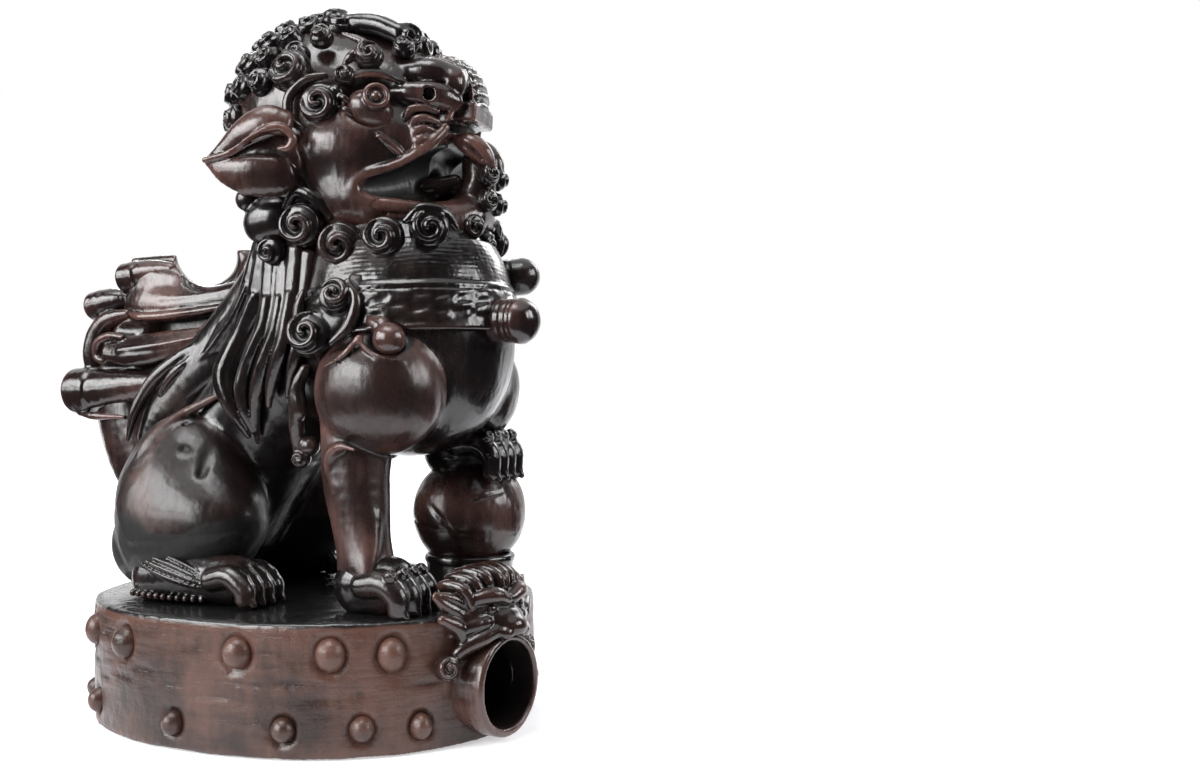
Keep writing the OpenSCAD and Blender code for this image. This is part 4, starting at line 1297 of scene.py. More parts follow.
def face_forms(clay):
    """The brow, the ridged nose, the cheeks' folds and the lips."""
    clay.add(egg((24, 0, 4), (12, 11.5, 11)), 4)
    nose(clay)
    for side in (RIGHT, LEFT):
        pad = [[21.6, 12.4, 12.8, 3.6], [27.4, 11.6, 12.8, 4.1], [33, 9.0, 11.2, 3.8]]
        clay.ridge(pad, side, 0.9, out=(0.1, side, 0.6), flat=0.9)
        clay.add(egg(at_side((32.6, 9.6, 9.8), side), (4.0, 4.4, 4.8)), 0.8)
        wing = [
            [19.8, 18.2, 6.4, 1.6], [24, 16.8, 6.0, 3.2], [29.6, 14.2, 5.6, 3.8], [33.4, 11, 4.6, 2.6],
        ]
        clay.ridge(wing, side, 1.0)
        brow = [
            [7.4, 24.8, 8.0, 0.7], [12, 24.9, 10.0, 1.1], [17, 23.0, 10.2, 1.2], [21.8, 18.6, 8.8, 0.9],
        ]
        clay.ridge(brow, side, 0.8)
        # Painted shade over the brow.
        clay.shade(limb([[x, side * y, z + 1.2, 2.0] for x, y, z, r in brow]))
        lid = [
            [8.0, 25.4, 3.4, 0.8], [8.8, 26, -2.0, 1.2], [12.4, 25.4, -6.0, 1.5],
            [17.8, 22.6, -6.4, 1.4], [22.2, 18.4, -3.4, 0.9],
        ]
        clay.ridge(lid, side, 0.7)
        for x0, z0, reach, drop in WHISKER_FOLDS:
            fold = [[x0, 15.4, z0 - 0.4, 0.7], [x0 - 0.45 * reach, 17.8, z0 + 0.3, 1.05]]
            fold.append([x0 - 0.85 * reach, 19.3, z0 - 0.2 * drop, 1.15])
            fold.append([x0 - reach, 19.4, z0 - drop, 0.8])
            clay.ridge(fold, side, 0.05, steps=5)
            clay.gouge([[r[0], r[1] + 0.9, r[2] - 1.35, 0.3] for r in fold[:3]], side, 0.2, steps=5)
        rim = [
            [35.0, 11.0, 4.6, 0.6], [33.4, 12.2, 1.6, 0.8], [31.6, 14.2, -3.6, 1.3],
            [28.6, 17.2, -7.8, 1.6], [24.6, 19.8, -11.8, 1.7], [20, 22.4, -14.8, 1.9],
            [14.4, 24.8, -16.6, 2.0], [11.0, 25.6, -19.6, 2.1], [12.2, 25.2, -23.0, 1.9],
        ]
        clay.ridge(rim, side, 0.6, steps=5)
        clay.ridge([[17.6, 25, -6.6, 0.7], [21, 22.4, -9.4, 1.1], [23.2, 20.2, -12, 0.7]], side, 0.5)
    lip = turn_to((0.05, 0, 1), (1, 0, 0))
    clay.add(block((31.5, 0, 2.9), (7.4, 8.6, 2.7), lip, 0.9), 0.4)


NOSE_MIDDLE, NOSE_RADIUS = (26.8, 0, 7), 12.0


def nose(clay):
    """The ridged bridge of the nose, like part of a wheel seen from the side."""
    clay.add(rod(NOSE_MIDDLE, (0, 1, 0), NOSE_RADIUS - 0.5, 6.4, 2.4), 1.2)
    for turned in np.arange(-22, 120, 13.5):
        a = math.radians(turned)
        x = NOSE_MIDDLE[0] + (NOSE_RADIUS - 0.2) * math.cos(a)
        z = NOSE_MIDDLE[2] + (NOSE_RADIUS - 0.2) * math.sin(a)
        ridge = [[x - 0.8, -5.4, z - 0.6, 1.0], [x, 0, z, 1.25], [x - 0.8, 5.4, z - 0.6, 1.0]]
        clay.add(limb(ridge), 0.2)
    for side in (RIGHT, LEFT):
        flank = (NOSE_MIDDLE[0], 6.4 * side, NOSE_MIDDLE[2])
        clay.add(hoop(flank, (0, 1, 0), 10.2, 0.9), 0.3)


def mouth_cuts(clay):
    """The mouth, the nostrils, the beds of the eyes, and the creases of the cheeks and the brow."""
    for side in (RIGHT, LEFT):
        opening = [
            [40, 6, -11, 5.4], [31, 12.5, -14.6, 6.8], [22.6, 19, -18.2, 4.8], [16.8, 24, -20.0, 2.9],
            [14.8, 28, -20.2, 2.4],
        ]
        clay.gouge(opening, side, 0.5, steps=8)
        # Painted shade along the mouth's opening.
        clay.shade(limb([[x, side * y, z, r + 0.9] for x, y, z, r in opening[:4]]))
        clay.cut(ball(at_side((28.6, 17.4, 5.6), side), 1.7), 0.8)
        clay.gouge([[28.6, 17.0, 5.6, 1.2], [31.2, 14.6, 4.6, 0.7]], side, 0.6)
        clay.cut(egg(at_side((15.2, 25.2, 2.4), side), (6.6, 4.6, 6.3)), 0.6)
        clay.gouge([[-1, 30.6, -16.2, 0.4], [6, 31.4, -15.6, 0.9], [15, 27.4, -13.4, 0.4]], side, 2.0)
        clay.gouge([[21.6, 17.4, 11.4, 0.6], [24.4, 14.4, 7.8, 1.2], [31.6, 13.4, 9.2, 0.5]], side, 0.6)
    clay.cut(block((34, 0, -14), (9, 9, 7.4), rounding=3), 0.8)
    clay.cut(block((36, 0, -1.3), (6.5, 14, 0.8), turn_to((-0.12, 0, 1), (1, 0, 0)), 0.5), 0.4)


def jaw_forms(clay):
    """The jaw with its rim, the chin before it, and a leaf on each side of the chin."""
    for side in (RIGHT, LEFT):
        rows = [
            [8.5, 15, -28.6, 7.6], [20, 13.8, -29.2, 6.8], [30, 8.6, -28.4, 6.4], [34.4, 3.5, -26, 6.2],
        ]
        clay.ridge(rows, side, 2)
        rim = [
            [11.8, 25.0, -22.2, 1.9], [15.2, 23.8, -24.0, 2.0], [22, 21, -24.7, 1.8],
            [29, 15, -24.9, 1.6], [34.5, 8.8, -24.2, 1.3],
        ]
        clay.ridge(rim, side, 0.5, steps=5)
        clay.ridge([[19, 21.9, -27.2, 0.7], [28.5, 16, -27.6, 1.3], [36, 9, -27.8, 0.8]], side, 0.4)
        leaf = [
            [31.6, 5.2, -4.4, 1.0], [36, 5.6, -5.8, 3.0], [39.8, 5, -8.6, 2.8], [42, 4.2, -12.2, 1.4],
        ]
        clay.ridge(leaf, side, 0.4)
        clay.gouge([[33.4, 8.2, -6.2, 0.3], [37, 8.4, -7.4, 0.8], [40.2, 6.8, -10.4, 0.4]], side, 0.4)
    clay.add(limb([[34.5, 0, -24, 6.4], [37.2, 0, -16, 5.0], [37.0, 0, -10.5, 4.6]]), 1.5)
    return clay


def make_head():
    own = skull_forms(block_of_clay([-36, -35, -40], [48, 35, 36], 0.5))
    face_forms(own)
    mouth_cuts(own)
    # Painted shade inside the mouth.
    own.shade(limb([[42, 0, -12, 8], [28, 0, -14, 12], [15, 0, -17, 11]]))
    own.keep(lambda x, y, z: -37 - z, 1.0)
    for side in (RIGHT, LEFT):
        own.gouge([[5, 15, -36.5, 5.0], [40, 9, -34, 6.0]], side)
    make_piece("head", figure_wood, own, HEAD, 101, 0.12)
    own = jaw_forms(block_of_clay([0, -28, -40], [48, 28, 2], 0.42))
    own.keep(lambda x, y, z: -36.5 - z, 1.0)
    make_piece("lower_jaw", figure_wood, own, HEAD, 102, 0.08)


def make_tongue():
    own = block_of_clay([4, -12, -30], [38, 12, -8], 0.42)
    rows = [[10, 0, -24, 6.5], [20, 0, -19.6, 7.4], [28, 0, -18.2, 7.0], [32.4, 0, -17, 4.4]]
    own.add(limb(rows, out=(0, 0, 1.0), flat=0.42))
    for side in (RIGHT, LEFT):
        own.ridge([[12, 6.5, -20, 1.2], [24, 7.6, -17.4, 1.6], [31.6, 4.4, -15.8, 1.9]], side, 0.5)
    own.cut(limb([[14, 0, -18.6, 0.5], [24, 0, -15.4, 0.9], [32, 0, -14.6, 0.4]]), 0.8)
    make_piece("tongue", dark_and_shaded_wood, own, HEAD, 103, 0.08)


def make_eye(name, side, seed):
    """An eyeball with a raised, ringed pupil."""
    own = side_block([7, 14, -8], [24, 32, 12], side, 0.34)
    lean = turn_to((0.5, 0, 1), (1, -0.35 * side, 0))
    own.add(egg(at_side((14.2, 22.8, 0.8), side), (6.4, 4.6, 5.2), lean))
    looking = np.array([0.5, side, 0.22])
    centre = np.array(at_side((17.2, 26.0, 3.8), side))
    own.add(egg(centre - 1.4 * unit(looking), (3.7, 3.7, 2.0), turn_to(looking)), 0.5)
    own.add(hoop(centre, looking, 2.9, 0.75), 0.2)
    own.add(ball(centre - 0.3 * unit(looking), 1.5), 0.1)
    own.cut(hoop(centre + 0.3 * unit(looking), looking, 1.95, 0.42), 0.1)
    make_piece(name, figure_wood, own, HEAD, seed, 0.03, 0.02)


def make_ear(name, side, seed):
    """A pointed ear: a broad rolled rim above the hollow, and a smooth flap below."""
    own = side_block([-36, 20, -28], [6, 38, 8], side, 0.4)
    middle_part = [[-24, 30, -14, 2.4], [-14, 29.6, -13, 5.6], [-6, 27.5, -10, 6]]
    own.ridge(middle_part, side, out=(0, side, 0), flat=0.4)
    upper = [
        [-28.4, 31.4, -12.8, 1.0], [-23, 32.2, -9.4, 2.2], [-17.4, 32.6, -5.4, 3.6],
        [-11.4, 32, -2.6, 4.3], [-6.2, 30.8, -3.4, 3.6],
    ]
    own.ridge(upper, side, 0.8, out=(0, side, 0.35), flat=0.6)
    rim = [
        [-28.6, 32.4, -12.6, 0.7], [-19.7, 34.6, -11.2, 0.9], [-14.2, 35.2, -8.2, 0.95],
        [-9.9, 34.8, -5.7, 1.0], [-6.0, 33.6, -5.0, 1.05], [-3.4, 32.4, -7.6, 1.1],
        [-4.6, 32.6, -10.2, 1.0], [-7.0, 32.8, -10.2, 0.8],
    ]
    own.ridge(rim, side, 0.3, steps=5)
    lobe = [
        [-28.2, 31.2, -13.2, 0.9], [-23, 32, -15.6, 3.4], [-16.4, 32, -17.0, 5.2],
        [-9.6, 30.6, -17.2, 5.4], [-6.4, 29.2, -16, 4.4],
    ]
    own.ridge(lobe, side, 0.8, out=(0.05, side, -0.25), flat=0.5)
    concha = [
        [-22.6, 35.6, -12.4, 0.4], [-16.4, 36.0, -10.8, 1.5], [-10.4, 35.4, -9.0, 2.4],
        [-7.4, 34.4, -8.6, 2.0],
    ]
    own.gouge(concha, side, 0.5)
    own.gouge([
        [-25, 34.4, -10.6, 0.3], [-16, 36.6, -6.6, 0.6], [-9.4, 35.8, -3.5, 0.6], [-4, 33, -4.2, 0.4],
    ], side, 0.6)
    make_piece(name, figure_wood, own, HEAD, seed, 0.06)


def skull_place(turned, raised):
    """(place, way out) on the skull, with turned from the nose and raised from level, in degrees."""
    a, e = math.radians(turned), math.radians(raised)
    way = np.array([math.cos(e) * math.cos(a), math.cos(e) * math.sin(a), math.sin(e)])
    return SKULL_MIDDLE + SKULL_RADII * way, unit(way / SKULL_RADII)


# Rounds of curls from the neck to the top: how far raised, and where each starts and ends, in degrees
CROWN_ROUNDS = [(-34, 106, 254), (-18, 106, 254), (-2, 106, 254), (14, 104, 256), (30, 92, 268)]
CROWN_ROUNDS += [(46, 92, 268), (62, 60, 300), (78, 60, 300)]
CROWN_SPACING = 8.4


def make_crown_curls():
    """Rounds of small curls over the skull, larger ones above the ears, and three rolls to the front."""
    own = block_of_clay([-40, -34, -36], [28, 34, 35.4], 0.52)
    for number, (raised, first, last) in enumerate(CROWN_ROUNDS):
        around = math.cos(math.radians(raised)) * 2 * math.pi * 26
        count = max(2, round(around * (last - first) / 360 / CROWN_SPACING))
        for k in range(count + 1):
            turned = first + (last - first) * (k + 0.5 * (number % 2)) / count
            if turned > last + 1:
                continue
            place, out = skull_place(turned, raised)
            if place[2] < 4 and abs(place[1]) > 20:
                continue
            hand = 1 if turned < 180 else -1
            spin = 57 * (number * 7 + k * 5)
            start = (math.cos(spin), math.sin(spin), 0.6)
            curl(own, place, out, start, 4.0 + 0.3 * math.sin(spin), hand, 2.6, 1.5, 1.6, 0.3)
    lean = turn_to((-0.3, 0, 1), (1, 0, 0))
    for side in (RIGHT, LEFT):
        side_curl(own, side, (-7.2, 25.4, 11.4), (-0.1, 1, 0.35), (-1, 0, 0), 6.2, 1, 3, 1.8, 1.6)
        side_curl(own, side, (0.6, 23.0, 20.4), (0.1, 1, 0.8), (1, 0, 0), 3.4, 1, 2.6, 1.4, 1.5)
        own.add(ball(at_side((-21.4, 22.0, -21.8), side), 3.4), 0.6)
        own.add(egg(at_side((-14.6, 21.4, -27.6), side), (8.2, 5.6, 6.6), lean), 1.0)
    for y, r in ((0, 5.0), (8.4, 4.6), (-8.4, 4.6)):
        rows = [
            [-3, y, 27.2, r - 0.8], [4, 1.02 * y, 27.8, r - 0.2], [11, 1.06 * y, 26.9, r],
            [17.6, 1.1 * y, 24.0, r - 0.2],
        ]
        own.add(limb(rows, steps=5, out=(0.2, 0, 1), flat=0.7, strands=2, groove=0.5), 0.6)
        curl(own, (19.6, 1.1 * y, 23.2), (1, 0.12 * y, 0.1), (0, 0, 1), r - 0.2, 1, 2.2, 1.0, 1.5)
        curl(own, (-1.5, y, 29.3), (-0.2, 0.1 * y / 8, 1), (1, 0, 0), r, 1, 1.8, 1.2, 1.6)
    make_piece("crown_curls", dark_and_shaded_wood, own, HEAD, 111, 0.06)


def make_brow_curls():
    own = block_of_clay([-16, -34, -10], [28, 34, 32], 0.42)
    for side in (RIGHT, LEFT):
        side_curl(own, side, (1.6, 26.0, 2.2), (0.1, 1, 0.05), (-1, 0, 0.2), 5.8, 1, 3, 1.7, 1.6)
        side_curl(own, side, (8.2, 25.6, 9.4), (0.25, 1, 0.3), (0, 0, -1), 3.0, -1, 2.4, 1.2, 1.4)
        for x, z in ((5.8, 5.8), (7.8, 3.4), (8.4, 0.2)):
            hair = [
                [x - 1.2, 26.6, z + 0.8, 0.5], [x + 0.8, 27.0, z, 1.0], [x + 2.2, 26.2, z - 1.6, 0.5],
            ]
            own.ridge(hair, side, 0.2)
        side_curl(own, side, (13.6, 22.4, 15.0), (0.3, 1, 0.4), (0.6, 0, 1), 4.2, 1, 2.6, 1.4, 1.5)
        tail = [[6.8, 23.6, 21.2, 0.5], [10.2, 23.6, 19.8, 1.0], [12.6, 23.6, 18.8, 1.0]]
        own.ridge(tail, side, 0.3)
        own.ridge([[7.4, 25, 12.4, 0.5], [9.6, 25, 14.6, 1.3], [11, 24.2, 17, 0.5]], side, 0.3)
        side_curl(own, side, (20, 13.4, 19), (0.5, 1, 0.9), (1, 0, 0), 3.3, 1, 2.4, 1.3, 1.6)
        stem = [
            [-2.4, 27.4, -4.8, 1.0], [-6.6, 27.6, -1.2, 1.3], [-6.8, 27.6, 4.0, 1.4],
            [-2.6, 27.4, 8.4, 1.3], [3, 26.6, 9.6, 1.0],
        ]
        own.ridge(stem, side, 0.4, steps=5)
    make_piece("brow_curls", dark_and_shaded_wood, own, HEAD, 112, 0.05)


def from_body(point):
    """A place of the body, in the head's frame."""
    return HEAD.axes @ (BODY.place(np.array([point], float))[0] - HEAD.origin) / HEAD.stretch


def make_jaw_curls():
    """The ruff of curls from behind the ear to under the chin, and those of the beard."""
    own = block_of_clay([-24, -36, -43], [47, 36, -4], 0.42)
    for side in (RIGHT, LEFT):
        side_curl(own, side, (-4, 25.2, -29.6), (0.0, 1, -0.1), (-0.5, 0, 1), 6.2, 1, 3.4, 2.2, 1.6)
        wave = [
            [-9, 25, -24.6, 1.0], [-5, 26.6, -20.8, 1.6], [-0.2, 26.6, -22.6, 1.7],
            [4, 25.4, -27.4, 1.1],
        ]
        own.ridge(wave, side, 0.5)
        side_curl(own, side, (7.2, 25.4, -34.8), (0.1, 1, -0.2), (-0.4, 0, 1), 6.4, 1, 3.4, 2.2, 1.7)
        for k, (point, size) in enumerate((((36.6, 23.8, 131.4), 5.8), ((46.4, 17.6, 133.8), 5.6))):
            centre = from_body(at_side(point, side))
            facing = HEAD.axes @ unit(np.array([0.25 + 0.4 * k, side, 0.0]))
            curl(own, centre, facing, (-0.4, 0, 1), size, side, 3.2, 2.0, 1.5)
        wave = [
            (41.6, 21.6, 135.6, 0.9), (45.2, 19.8, 139, 1.5), (49.6, 15.6, 138.2, 1.5),
            (51.6, 12.6, 134.4, 0.9),
        ]
        own.add(limb([[*from_body(at_side(row[:3], side)), row[3]] for row in wave], steps=5), 0.5)
        side_curl(own, side, (37.4, 7.4, -28.8), (1, 0.9, -0.2), (0, 0, 1), 3.8, 1, 2.6, 1.4, 1.5)
        side_curl(own, side, (40.6, 4.2, -21.4), (1, 0.6, 0), (0, 0, 1), 3.5, 1, 2.4, 1.3, 1.4)
        side_curl(own, side, (41.0, 4.0, -14.4), (1, 0.7, 0.2), (0, 0, 1), 3.4, 1, 2.4, 1.3, 1.4)
        side_curl(own, side, (-13.4, 23.4, -36), (-0.2, 1, -0.2), (0, 0, 1), 4.0, 1, 2.6, 1.3, 1.5)
    curl(own, (38.6, 0, -32.4), (1, 0, -0.6), (0, 1, 0), 3.6, 1, 2.6, 1.2, 1.6)
    make_piece("jaw_curls", dark_and_shaded_wood, own, HEAD, 113, 0.05)


# The drum


SQUARENESS = 2.19
RING_TURN, RING_FACING = -11.0, -9.0
UPPER_STUD_HEIGHT, LOWER_STUD_HEIGHT = 26, 7.5
UPPER_STUD_TURNS = [-136, -113, -81, -58.5, -42.8, 42.8, 62, 86, 112, 136, 158, 180, -158]
LOWER_STUD_TURNS = [-131, -96, -70, -50.6, -34.7, 34.7, 54, 76, 100, 124, 146, 168, -170, -150]
drum_low, drum_high = corners("base_drum")
DRUM_HALVES = (drum_high - drum_low)[:2] / 2


def rim_place(turned):
    """(place, way out) on the drum's side, which is a rounded oval."""
    c, s = math.cos(math.radians(turned)), math.sin(math.radians(turned))
    power = 2 / SQUARENESS
    round_place = [math.copysign(abs(c) ** power, c), math.copysign(abs(s) ** power, s)]
    place = DRUM_HALVES * np.array(round_place)
    share = np.abs(place / DRUM_HALVES) ** (SQUARENESS - 1) / DRUM_HALVES
    return place, unit([math.copysign(share[0], c), math.copysign(share[1], s), 0])


class MaskSpace:
    """The front of the drum: x outward through the ring, y to the lion's left, z up."""

    centre = np.array([*rim_place(RING_TURN)[0], 0])
    facing = math.radians(RING_FACING)
    cosine, sine = math.cos(facing), math.sin(facing)
    axes = np.array([[cosine, sine, 0], [-sine, cosine, 0], [0, 0, 1]])

    def place(self, points):
        return points @ self.axes + self.centre


class PlainSpace:
    """The frame's own millimetres."""

    def place(self, points):
        return points


MASK = MaskSpace()
PLAIN = PlainSpace()


def drum_side(x, y):
    """How far a place lies outside the drum's side, close to it."""
    a, b = DRUM_HALVES
    share = (np.abs(x / a) ** SQUARENESS + np.abs(y / b) ** SQUARENESS) ** (1 / SQUARENESS)
    slope_x = np.abs(x / a) ** (SQUARENESS - 1) / a
    slope_y = np.abs(y / b) ** (SQUARENESS - 1) / b
    slope = np.sqrt(slope_x**2 + slope_y**2) * np.maximum(share, 1e-3) ** (1 - SQUARENESS)
    return (share - 1) / np.maximum(slope, 1e-4)


RING_HEIGHT, RING_RADIUS, RING_WALL, RING_PROUD = 14.8, 13.5, 2.2, 6.5


def on_front(point):
    return MASK.place(np.array([point], float))[0]


def make_drum():
    """The drum with the ring's hollow, a pocket round each stud, and long scrapes in its side."""
    own = block_of_clay([-64.4, -54.9, -1.6], [64.4, 54.9, 35.6], 0.88)
    x, y, z = own.everywhere()
    foot = 0.35
    band = np.abs(z - (PLAN_DECK + foot) / 2) - (PLAN_DECK - foot) / 2
    own.field = soft_max(drum_side(x, y), band, 1.4).astype(np.float32)
    own.cut(rod(on_front((-5, 0, RING_HEIGHT)), MASK.axes[0], RING_RADIUS - RING_WALL, 10, 0.5), 0.3)
    # Painted shade in the ring's bore.
    own.shade(rod(on_front((-6, 0, RING_HEIGHT)), MASK.axes[0], RING_RADIUS - 0.4, 14, 0.5))
    pockets = ((UPPER_STUD_TURNS, UPPER_STUD_HEIGHT, 4.6), (LOWER_STUD_TURNS, LOWER_STUD_HEIGHT, 3.7))
    for turns, height, across in pockets:
        for number, turned in enumerate(turns):
            place, out = rim_place(turned)
            tall = 1.04 + 0.05 * math.sin(3.7 * number + height)
            size = (1.1 * across * tall, 1.02 * across, 1.5)
            own.cut(egg((*place, height), size, turn_to(out, (0, 0, 1))), 0.5)
    for turned in range(-150, -20, 9):
        place, out = rim_place(turned)
        along = np.array([-out[1], out[0], 0])
        height = 17.5 + 2.6 * math.sin(1.9 * turned)
        start = np.array([*place, height]) + 0.3 * out
        length = 7 + 3 * math.sin(2.3 * turned)
        ends = start - length * along, start + length * along
        own.cut(limb([[*ends[0], 0.2], [*start, 0.75], [*ends[1], 0.2]]), 0.6)
    make_piece("base_drum", base_wood, own, PLAIN, 121, 0.2, 0.1)


def make_studs(name, turns, height, radius, seed):
    studs = []
    for number, turned in enumerate(turns):
        place, out = rim_place(turned)
        centre = np.array([*place, height + 0.4 * math.sin(4.3 * number)])
        one = Clay(centre - 6, centre + 6, 0.5)
        tall = 1.1 + 0.05 * math.sin(5.1 * number + seed)
        size = (radius * tall, radius * (2.06 - tall), 3.5)
        one.add(egg(centre - 0.7 * out, size, turn_to(out, (0, 0, 1))))
        one.keep(lambda x, y, z: -2.2 - drum_side(x, y))
        studs.append(one)
    make_piece(name, base_wood, studs, PLAIN, seed, 0.2, 0.08)


def make_ring():
    """A thick collar, with painted shade inside."""
    own = block_of_clay([-5, -15, -1], [8, 15, 30], 0.5)
    own.add(rod((1, 0, RING_HEIGHT), (1, 0, 0), RING_RADIUS - 0.1, RING_PROUD - 1, 1.0))
    own.cut(rod((4, 0, RING_HEIGHT), (1, 0, 0), RING_RADIUS - RING_WALL, 12, 0.2), 0.5)
    # Painted shade inside the collar's bore.
    own.shade(rod((-1, 0, RING_HEIGHT), (1, 0, 0), RING_RADIUS - 0.6 * RING_WALL, 7.6, 0.5))
    make_piece("drum_ring", relief_wood, own, MASK, 131, 0.1)


def mask_forms(clay):
    """An animal's mask that holds the ring in its mouth."""
    clay.add(egg((-1, 0, 33.4), (6.5, 14, 9.6)))
    clay.add(egg((3.6, 0, 31.4), (5.4, 6.4, 4.9)), 1.5)
    clay.add(egg((7.2, 0, 30.4), (3.4, 4.6, 3.2)), 0.6)
    for side in (RIGHT, LEFT):

        def put(rows, blend=0.5, **how):
            clay.ridge(rows, side, blend, **how)

        clay.add(egg(at_side((7.4, 3.6, 29.0), side), (2.2, 2.2, 1.9)), 0.4)
        put([
            [5.6, 1.4, 37.4, 1.9], [5.2, 5.4, 38.8, 2.2], [2.6, 9.4, 38.2, 1.9], [-0.4, 12, 36.4, 1.2],
        ])
        clay.add(ball(at_side((3.9, 5.9, 35.2), side), 2.0), 0.2)
        clay.cut(hoop(at_side((5.0, 6.2, 35.3), side), (1, 0.45 * side, 0), 1.25, 0.35), 0.2)
        put([
            [5.8, 5.6, 29.6, 1.7], [3.6, 9.2, 28.0, 2.2], [0.8, 13.0, 25.8, 1.9],
            [-1.6, 15.4, 22.6, 1.4],
        ], 0.8)
        put([[3.9, 7.6, 32.0, 1.8], [1.4, 11.2, 31.2, 2.2], [-1.6, 14.4, 29.4, 1.4]], 0.8)
        ear = [[-0.6, 12.4, 35.4, 3.2], [-1.8, 15.8, 37.6, 2.9], [-3.2, 19.4, 39.8, 1.2]]
        put(ear, 0.6, out=(1, 0.4 * side, 0), flat=0.6)
        clay.gouge([[2.0, 13.0, 35.8, 1.2], [0.4, 16, 37.6, 0.9], [-1.4, 18.6, 39.2, 0.4]], side, 0.6)
        put([[-1.4, 18.6, 33.8, 1.4], [0, 14.8, 31.6, 2.0], [0.4, 13, 28.6, 1.6]])
        side_curl(clay, side, (-1.2, 17.2, 21.6), (1, 0.5, 0), (0, 0, 1), 3.6, 1, 2.2, 1.0, 1.5)
        for k, (y, z) in enumerate(((1.4, 43.2), (4.9, 42.9), (8.4, 41.8), (11.6, 40.2))):
            strand = [[4.2 - 0.7 * k, y - 0.4, z - 3.6, 1.1], [2.6 - 0.7 * k, y, z, 1.7]]
            strand += [[-1.8 - 0.6 * k, y + 0.9, z + 1.4, 1.6], [-6.4, y + 1.2, z + 1.0, 1.2]]
            put(strand, 0.3)
    return clay


def make_mask():
    own = mask_forms(block_of_clay([-9, -22, 17], [13, 22, 48], 0.36))
    own.cut(rod((0, 0, RING_HEIGHT), (1, 0, 0), RING_RADIUS + 0.1, 30, 0.2), 0.2)
    x, y, z = own.everywhere()
    place = [x * MASK.axes[0][k] + y * MASK.axes[1][k] + MASK.centre[k] for k in (0, 1)]
    inside_drum = soft_max(drum_side(*place), z - PLAN_DECK, 0.5)
    own.field = np.maximum(own.field, -inside_drum - 1.2).astype(np.float32)
    make_piece("drum_mask", relief_wood, own, MASK, 141, 0.05)


make_torso()
make_haunch("right_haunch", RIGHT, 11)
make_haunch("left_haunch", LEFT, 12)
make_hind_foot("right_hind_foot", RIGHT, 0.0, 13)
make_hind_foot("left_hind_foot", LEFT, 14.4, 14)
make_front_legs()
make_front_paws()
make_ball_and_stand()
make_strap()
make_bells()
make_locks("right_mane_locks", RIGHT, 71)
make_locks("left_mane_locks", LEFT, 72)
make_back_locks()
make_shoulder_curls()
make_tail()
make_head()
make_tongue()
make_eye("right_eye", RIGHT, 104)
make_eye("left_eye", LEFT, 105)
make_ear("right_ear", RIGHT, 106)
make_ear("left_ear", LEFT, 107)
make_crown_curls()
make_brow_curls()
make_jaw_curls()
make_drum()
make_studs("upper_studs", UPPER_STUD_TURNS, UPPER_STUD_HEIGHT, 3.9, 151)
make_studs("lower_studs", LOWER_STUD_TURNS, LOWER_STUD_HEIGHT, 3.05, 152)
make_ring()
make_mask()

for name in ("body_pegs", "neck_peg"):
    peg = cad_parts[name]
    peg.data.materials.clear()
    peg.data.materials.append(figure_wood)


# The studio, as the photograph's camera sees it


CAMERA_HEADING = math.radians(22)
CAMERA_PLACE = (0.2166, -0.3191, 0.092)
FOCAL_PIXELS, PHOTO_WIDTH = 1308, 1200
WORLD_LIGHT = (0.25, 0.25, 0.26, 1)
WHITE, BLACK = (1, 1, 1, 1), (0, 0, 0, 1)
FLOOR_LIFT = (0.5, 0.5, 0.5, 1)
FLOOR_HALF = 30.0
LION_MIDDLE = (0, 0, 0.1)


def area_lamp(name, place, size, radiance):
    """A soft panel of the given radiance, facing the lion."""
    light = bpy.data.lights.new(name, "AREA")
    light.shape = "RECTANGLE"
    light.size, light.size_y = size
    light.energy = radiance * math.pi * size[0] * size[1]
    lamp = put_in_scene(name, light)
    lamp.location = place
    lamp.rotation_euler = Vector(np.subtract(LION_MIDDLE, place)).to_track_quat("-Z", "Y").to_euler()


def seen_directly(bench):
    """1 for what the camera sees, also in a reflection or through glass."""
    path = bench.node("ShaderNodeLightPath")
    seen = path.out("Is Camera Ray").worked("MAXIMUM", path.out("Is Glossy Ray"))
    return seen.worked("MAXIMUM", path.out("Is Transmission Ray"))


def plain_mesh(name, corners, faces, material):
    mesh = bpy.data.meshes.new(name)
    mesh.from_pydata(corners, [], faces)
    mesh.materials.append(material)
    return put_in_scene(name, mesh)


def make_floor():
    bench = material_bench("white_floor")
    place = bench.node("ShaderNodeTexCoord").out("Object")
    far = bench.node("ShaderNodeVectorMath", {"operation": "LENGTH"}, {0: place}).out("Value")
    lift = bench.mix(far.clear(0.12, 0.55), FLOOR_LIFT, WHITE)
    material = bench.finish(
        {
            "Base Color": wood_colour(226, 226, 230),
            "Roughness": 0.8,
            "Specular IOR Level": 0.0,
            "Emission Color": bench.mix(seen_directly(bench), BLACK, lift),
            "Emission Strength": 1.0,
        }
    )
    corners = [(x * FLOOR_HALF, y * FLOOR_HALF, 0) for x, y in ((-1, -1), (1, -1), (1, 1), (-1, 1))]
    floor = plain_mesh("floor", corners, [(0, 1, 2, 3)], material)


def make_world():
    world = bpy.data.worlds.new("studio")
    bpy.context.scene.world = world
    bench = Bench(world)
    colour = bench.mix(seen_directly(bench), WORLD_LIGHT, WHITE)
    back = bench.node("ShaderNodeBackground", {}, {"Color": colour, "Strength": 1.0})
    bench.node("ShaderNodeOutputWorld", {}, {"Surface": back.out()})


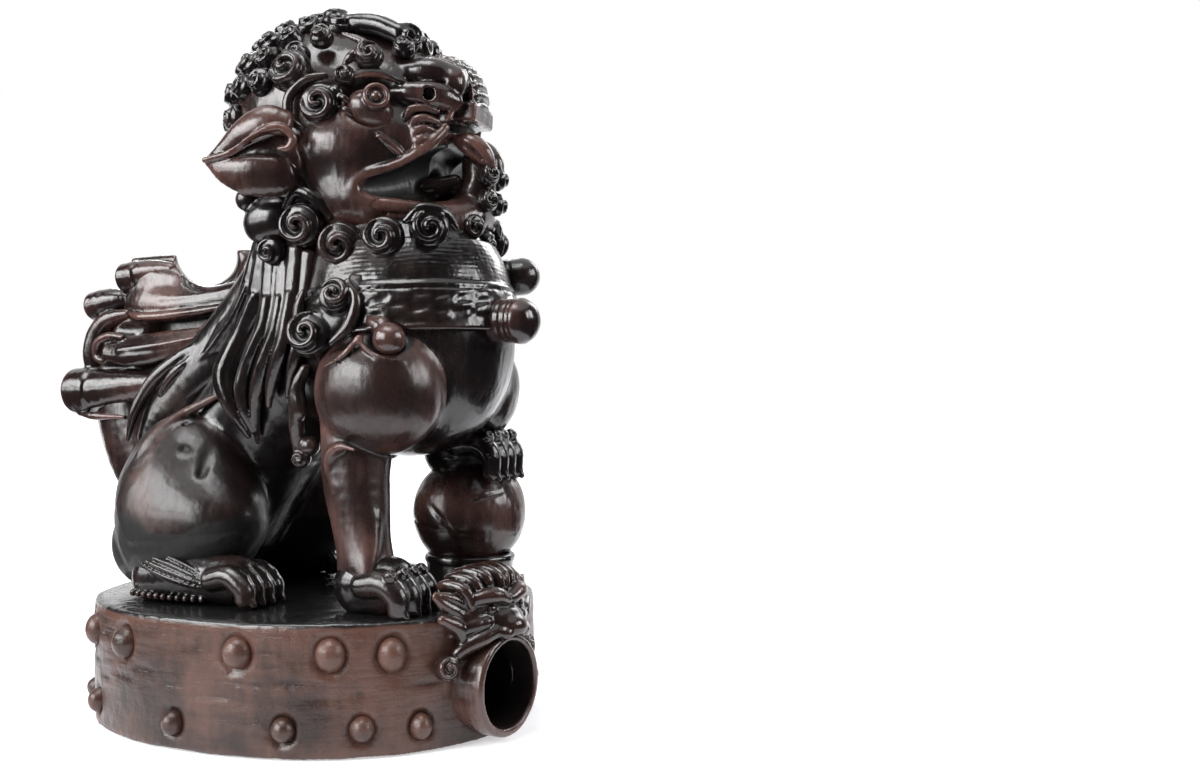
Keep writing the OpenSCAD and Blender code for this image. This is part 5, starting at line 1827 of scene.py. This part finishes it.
def from_camera(turned, raised, far):
    """A place far metres from the object, turned right from the camera's side and raised, in degrees."""
    a = math.radians(turned) - math.pi / 2 + CAMERA_HEADING
    e = math.radians(raised)
    return (
        far * math.cos(e) * math.cos(a), far * math.cos(e) * math.sin(a),
        LION_MIDDLE[2] + far * math.sin(e),
    )


def make_lamps():
    """Two rows of panes of a window on the left, two panes on the right, a soft panel above, and
    two windows behind."""
    for number, (turned, radiance) in enumerate(((-80, 9.5), (-65, 12), (-50, 14), (-35, 14.5))):
        area_lamp(f"window_left_{number}", from_camera(turned, 24, 1.1), (0.225, 0.44), radiance)
        area_lamp(f"window_low_{number}", from_camera(turned, 6, 1.1), (0.225, 0.16), 0.75 * radiance)
    for number, turned in enumerate((72, 90)):
        area_lamp(f"window_right_{number}", from_camera(turned, 22, 1.1), (0.2, 0.42), 11)
    area_lamp("panel_above", from_camera(-30, 72, 1.2), (0.7, 0.5), 7.5)
    for number, turned in enumerate((145, 195)):
        area_lamp(f"window_behind_{number}", from_camera(turned, 30, 1.4), (0.45, 0.6), 6)


def make_dark_reflection_sheet():
    """A dark sheet on the camera's side of the table that only reflections see: it paints dark
    reflections in the lacquer between the windows."""
    bench = material_bench("dark_reflection_sheet")
    material = bench.finish({
        "Base Color": wood_colour(30, 29, 30), "Roughness": 1.0, "Specular IOR Level": 0.0,
    })
    ring = []
    for turned in np.arange(-125, 126, 10):
        for far, high in ((0.15, 0.002), (2.0, 0.002), (2.0, 2.3)):
            x, y, _ = from_camera(turned, 0, far)
            ring.append((x, y, high))
    starts = [3 * k + j for k in range(len(ring) // 3 - 1) for j in (0, 1)]
    faces = [(s, s + 1, s + 4, s + 3) for s in starts]
    dark_sheet = plain_mesh("dark_reflection_sheet", ring, faces, material)
    dark_sheet.visible_camera = False
    dark_sheet.visible_diffuse = False
    dark_sheet.visible_shadow = False


def make_camera():
    data = bpy.data.cameras.new("photo_camera")
    data.sensor_width = 36
    data.lens = FOCAL_PIXELS / PHOTO_WIDTH * data.sensor_width
    data.clip_start, data.clip_end = 0.01, 50
    camera = put_in_scene("photo_camera", data)
    camera.location = CAMERA_PLACE
    camera.rotation_euler = (math.pi / 2, 0, CAMERA_HEADING)
    bpy.context.scene.camera = camera
    bpy.context.scene.view_settings.view_transform = "Standard"


make_floor()
make_world()
make_lamps()
make_dark_reflection_sheet()
make_camera()
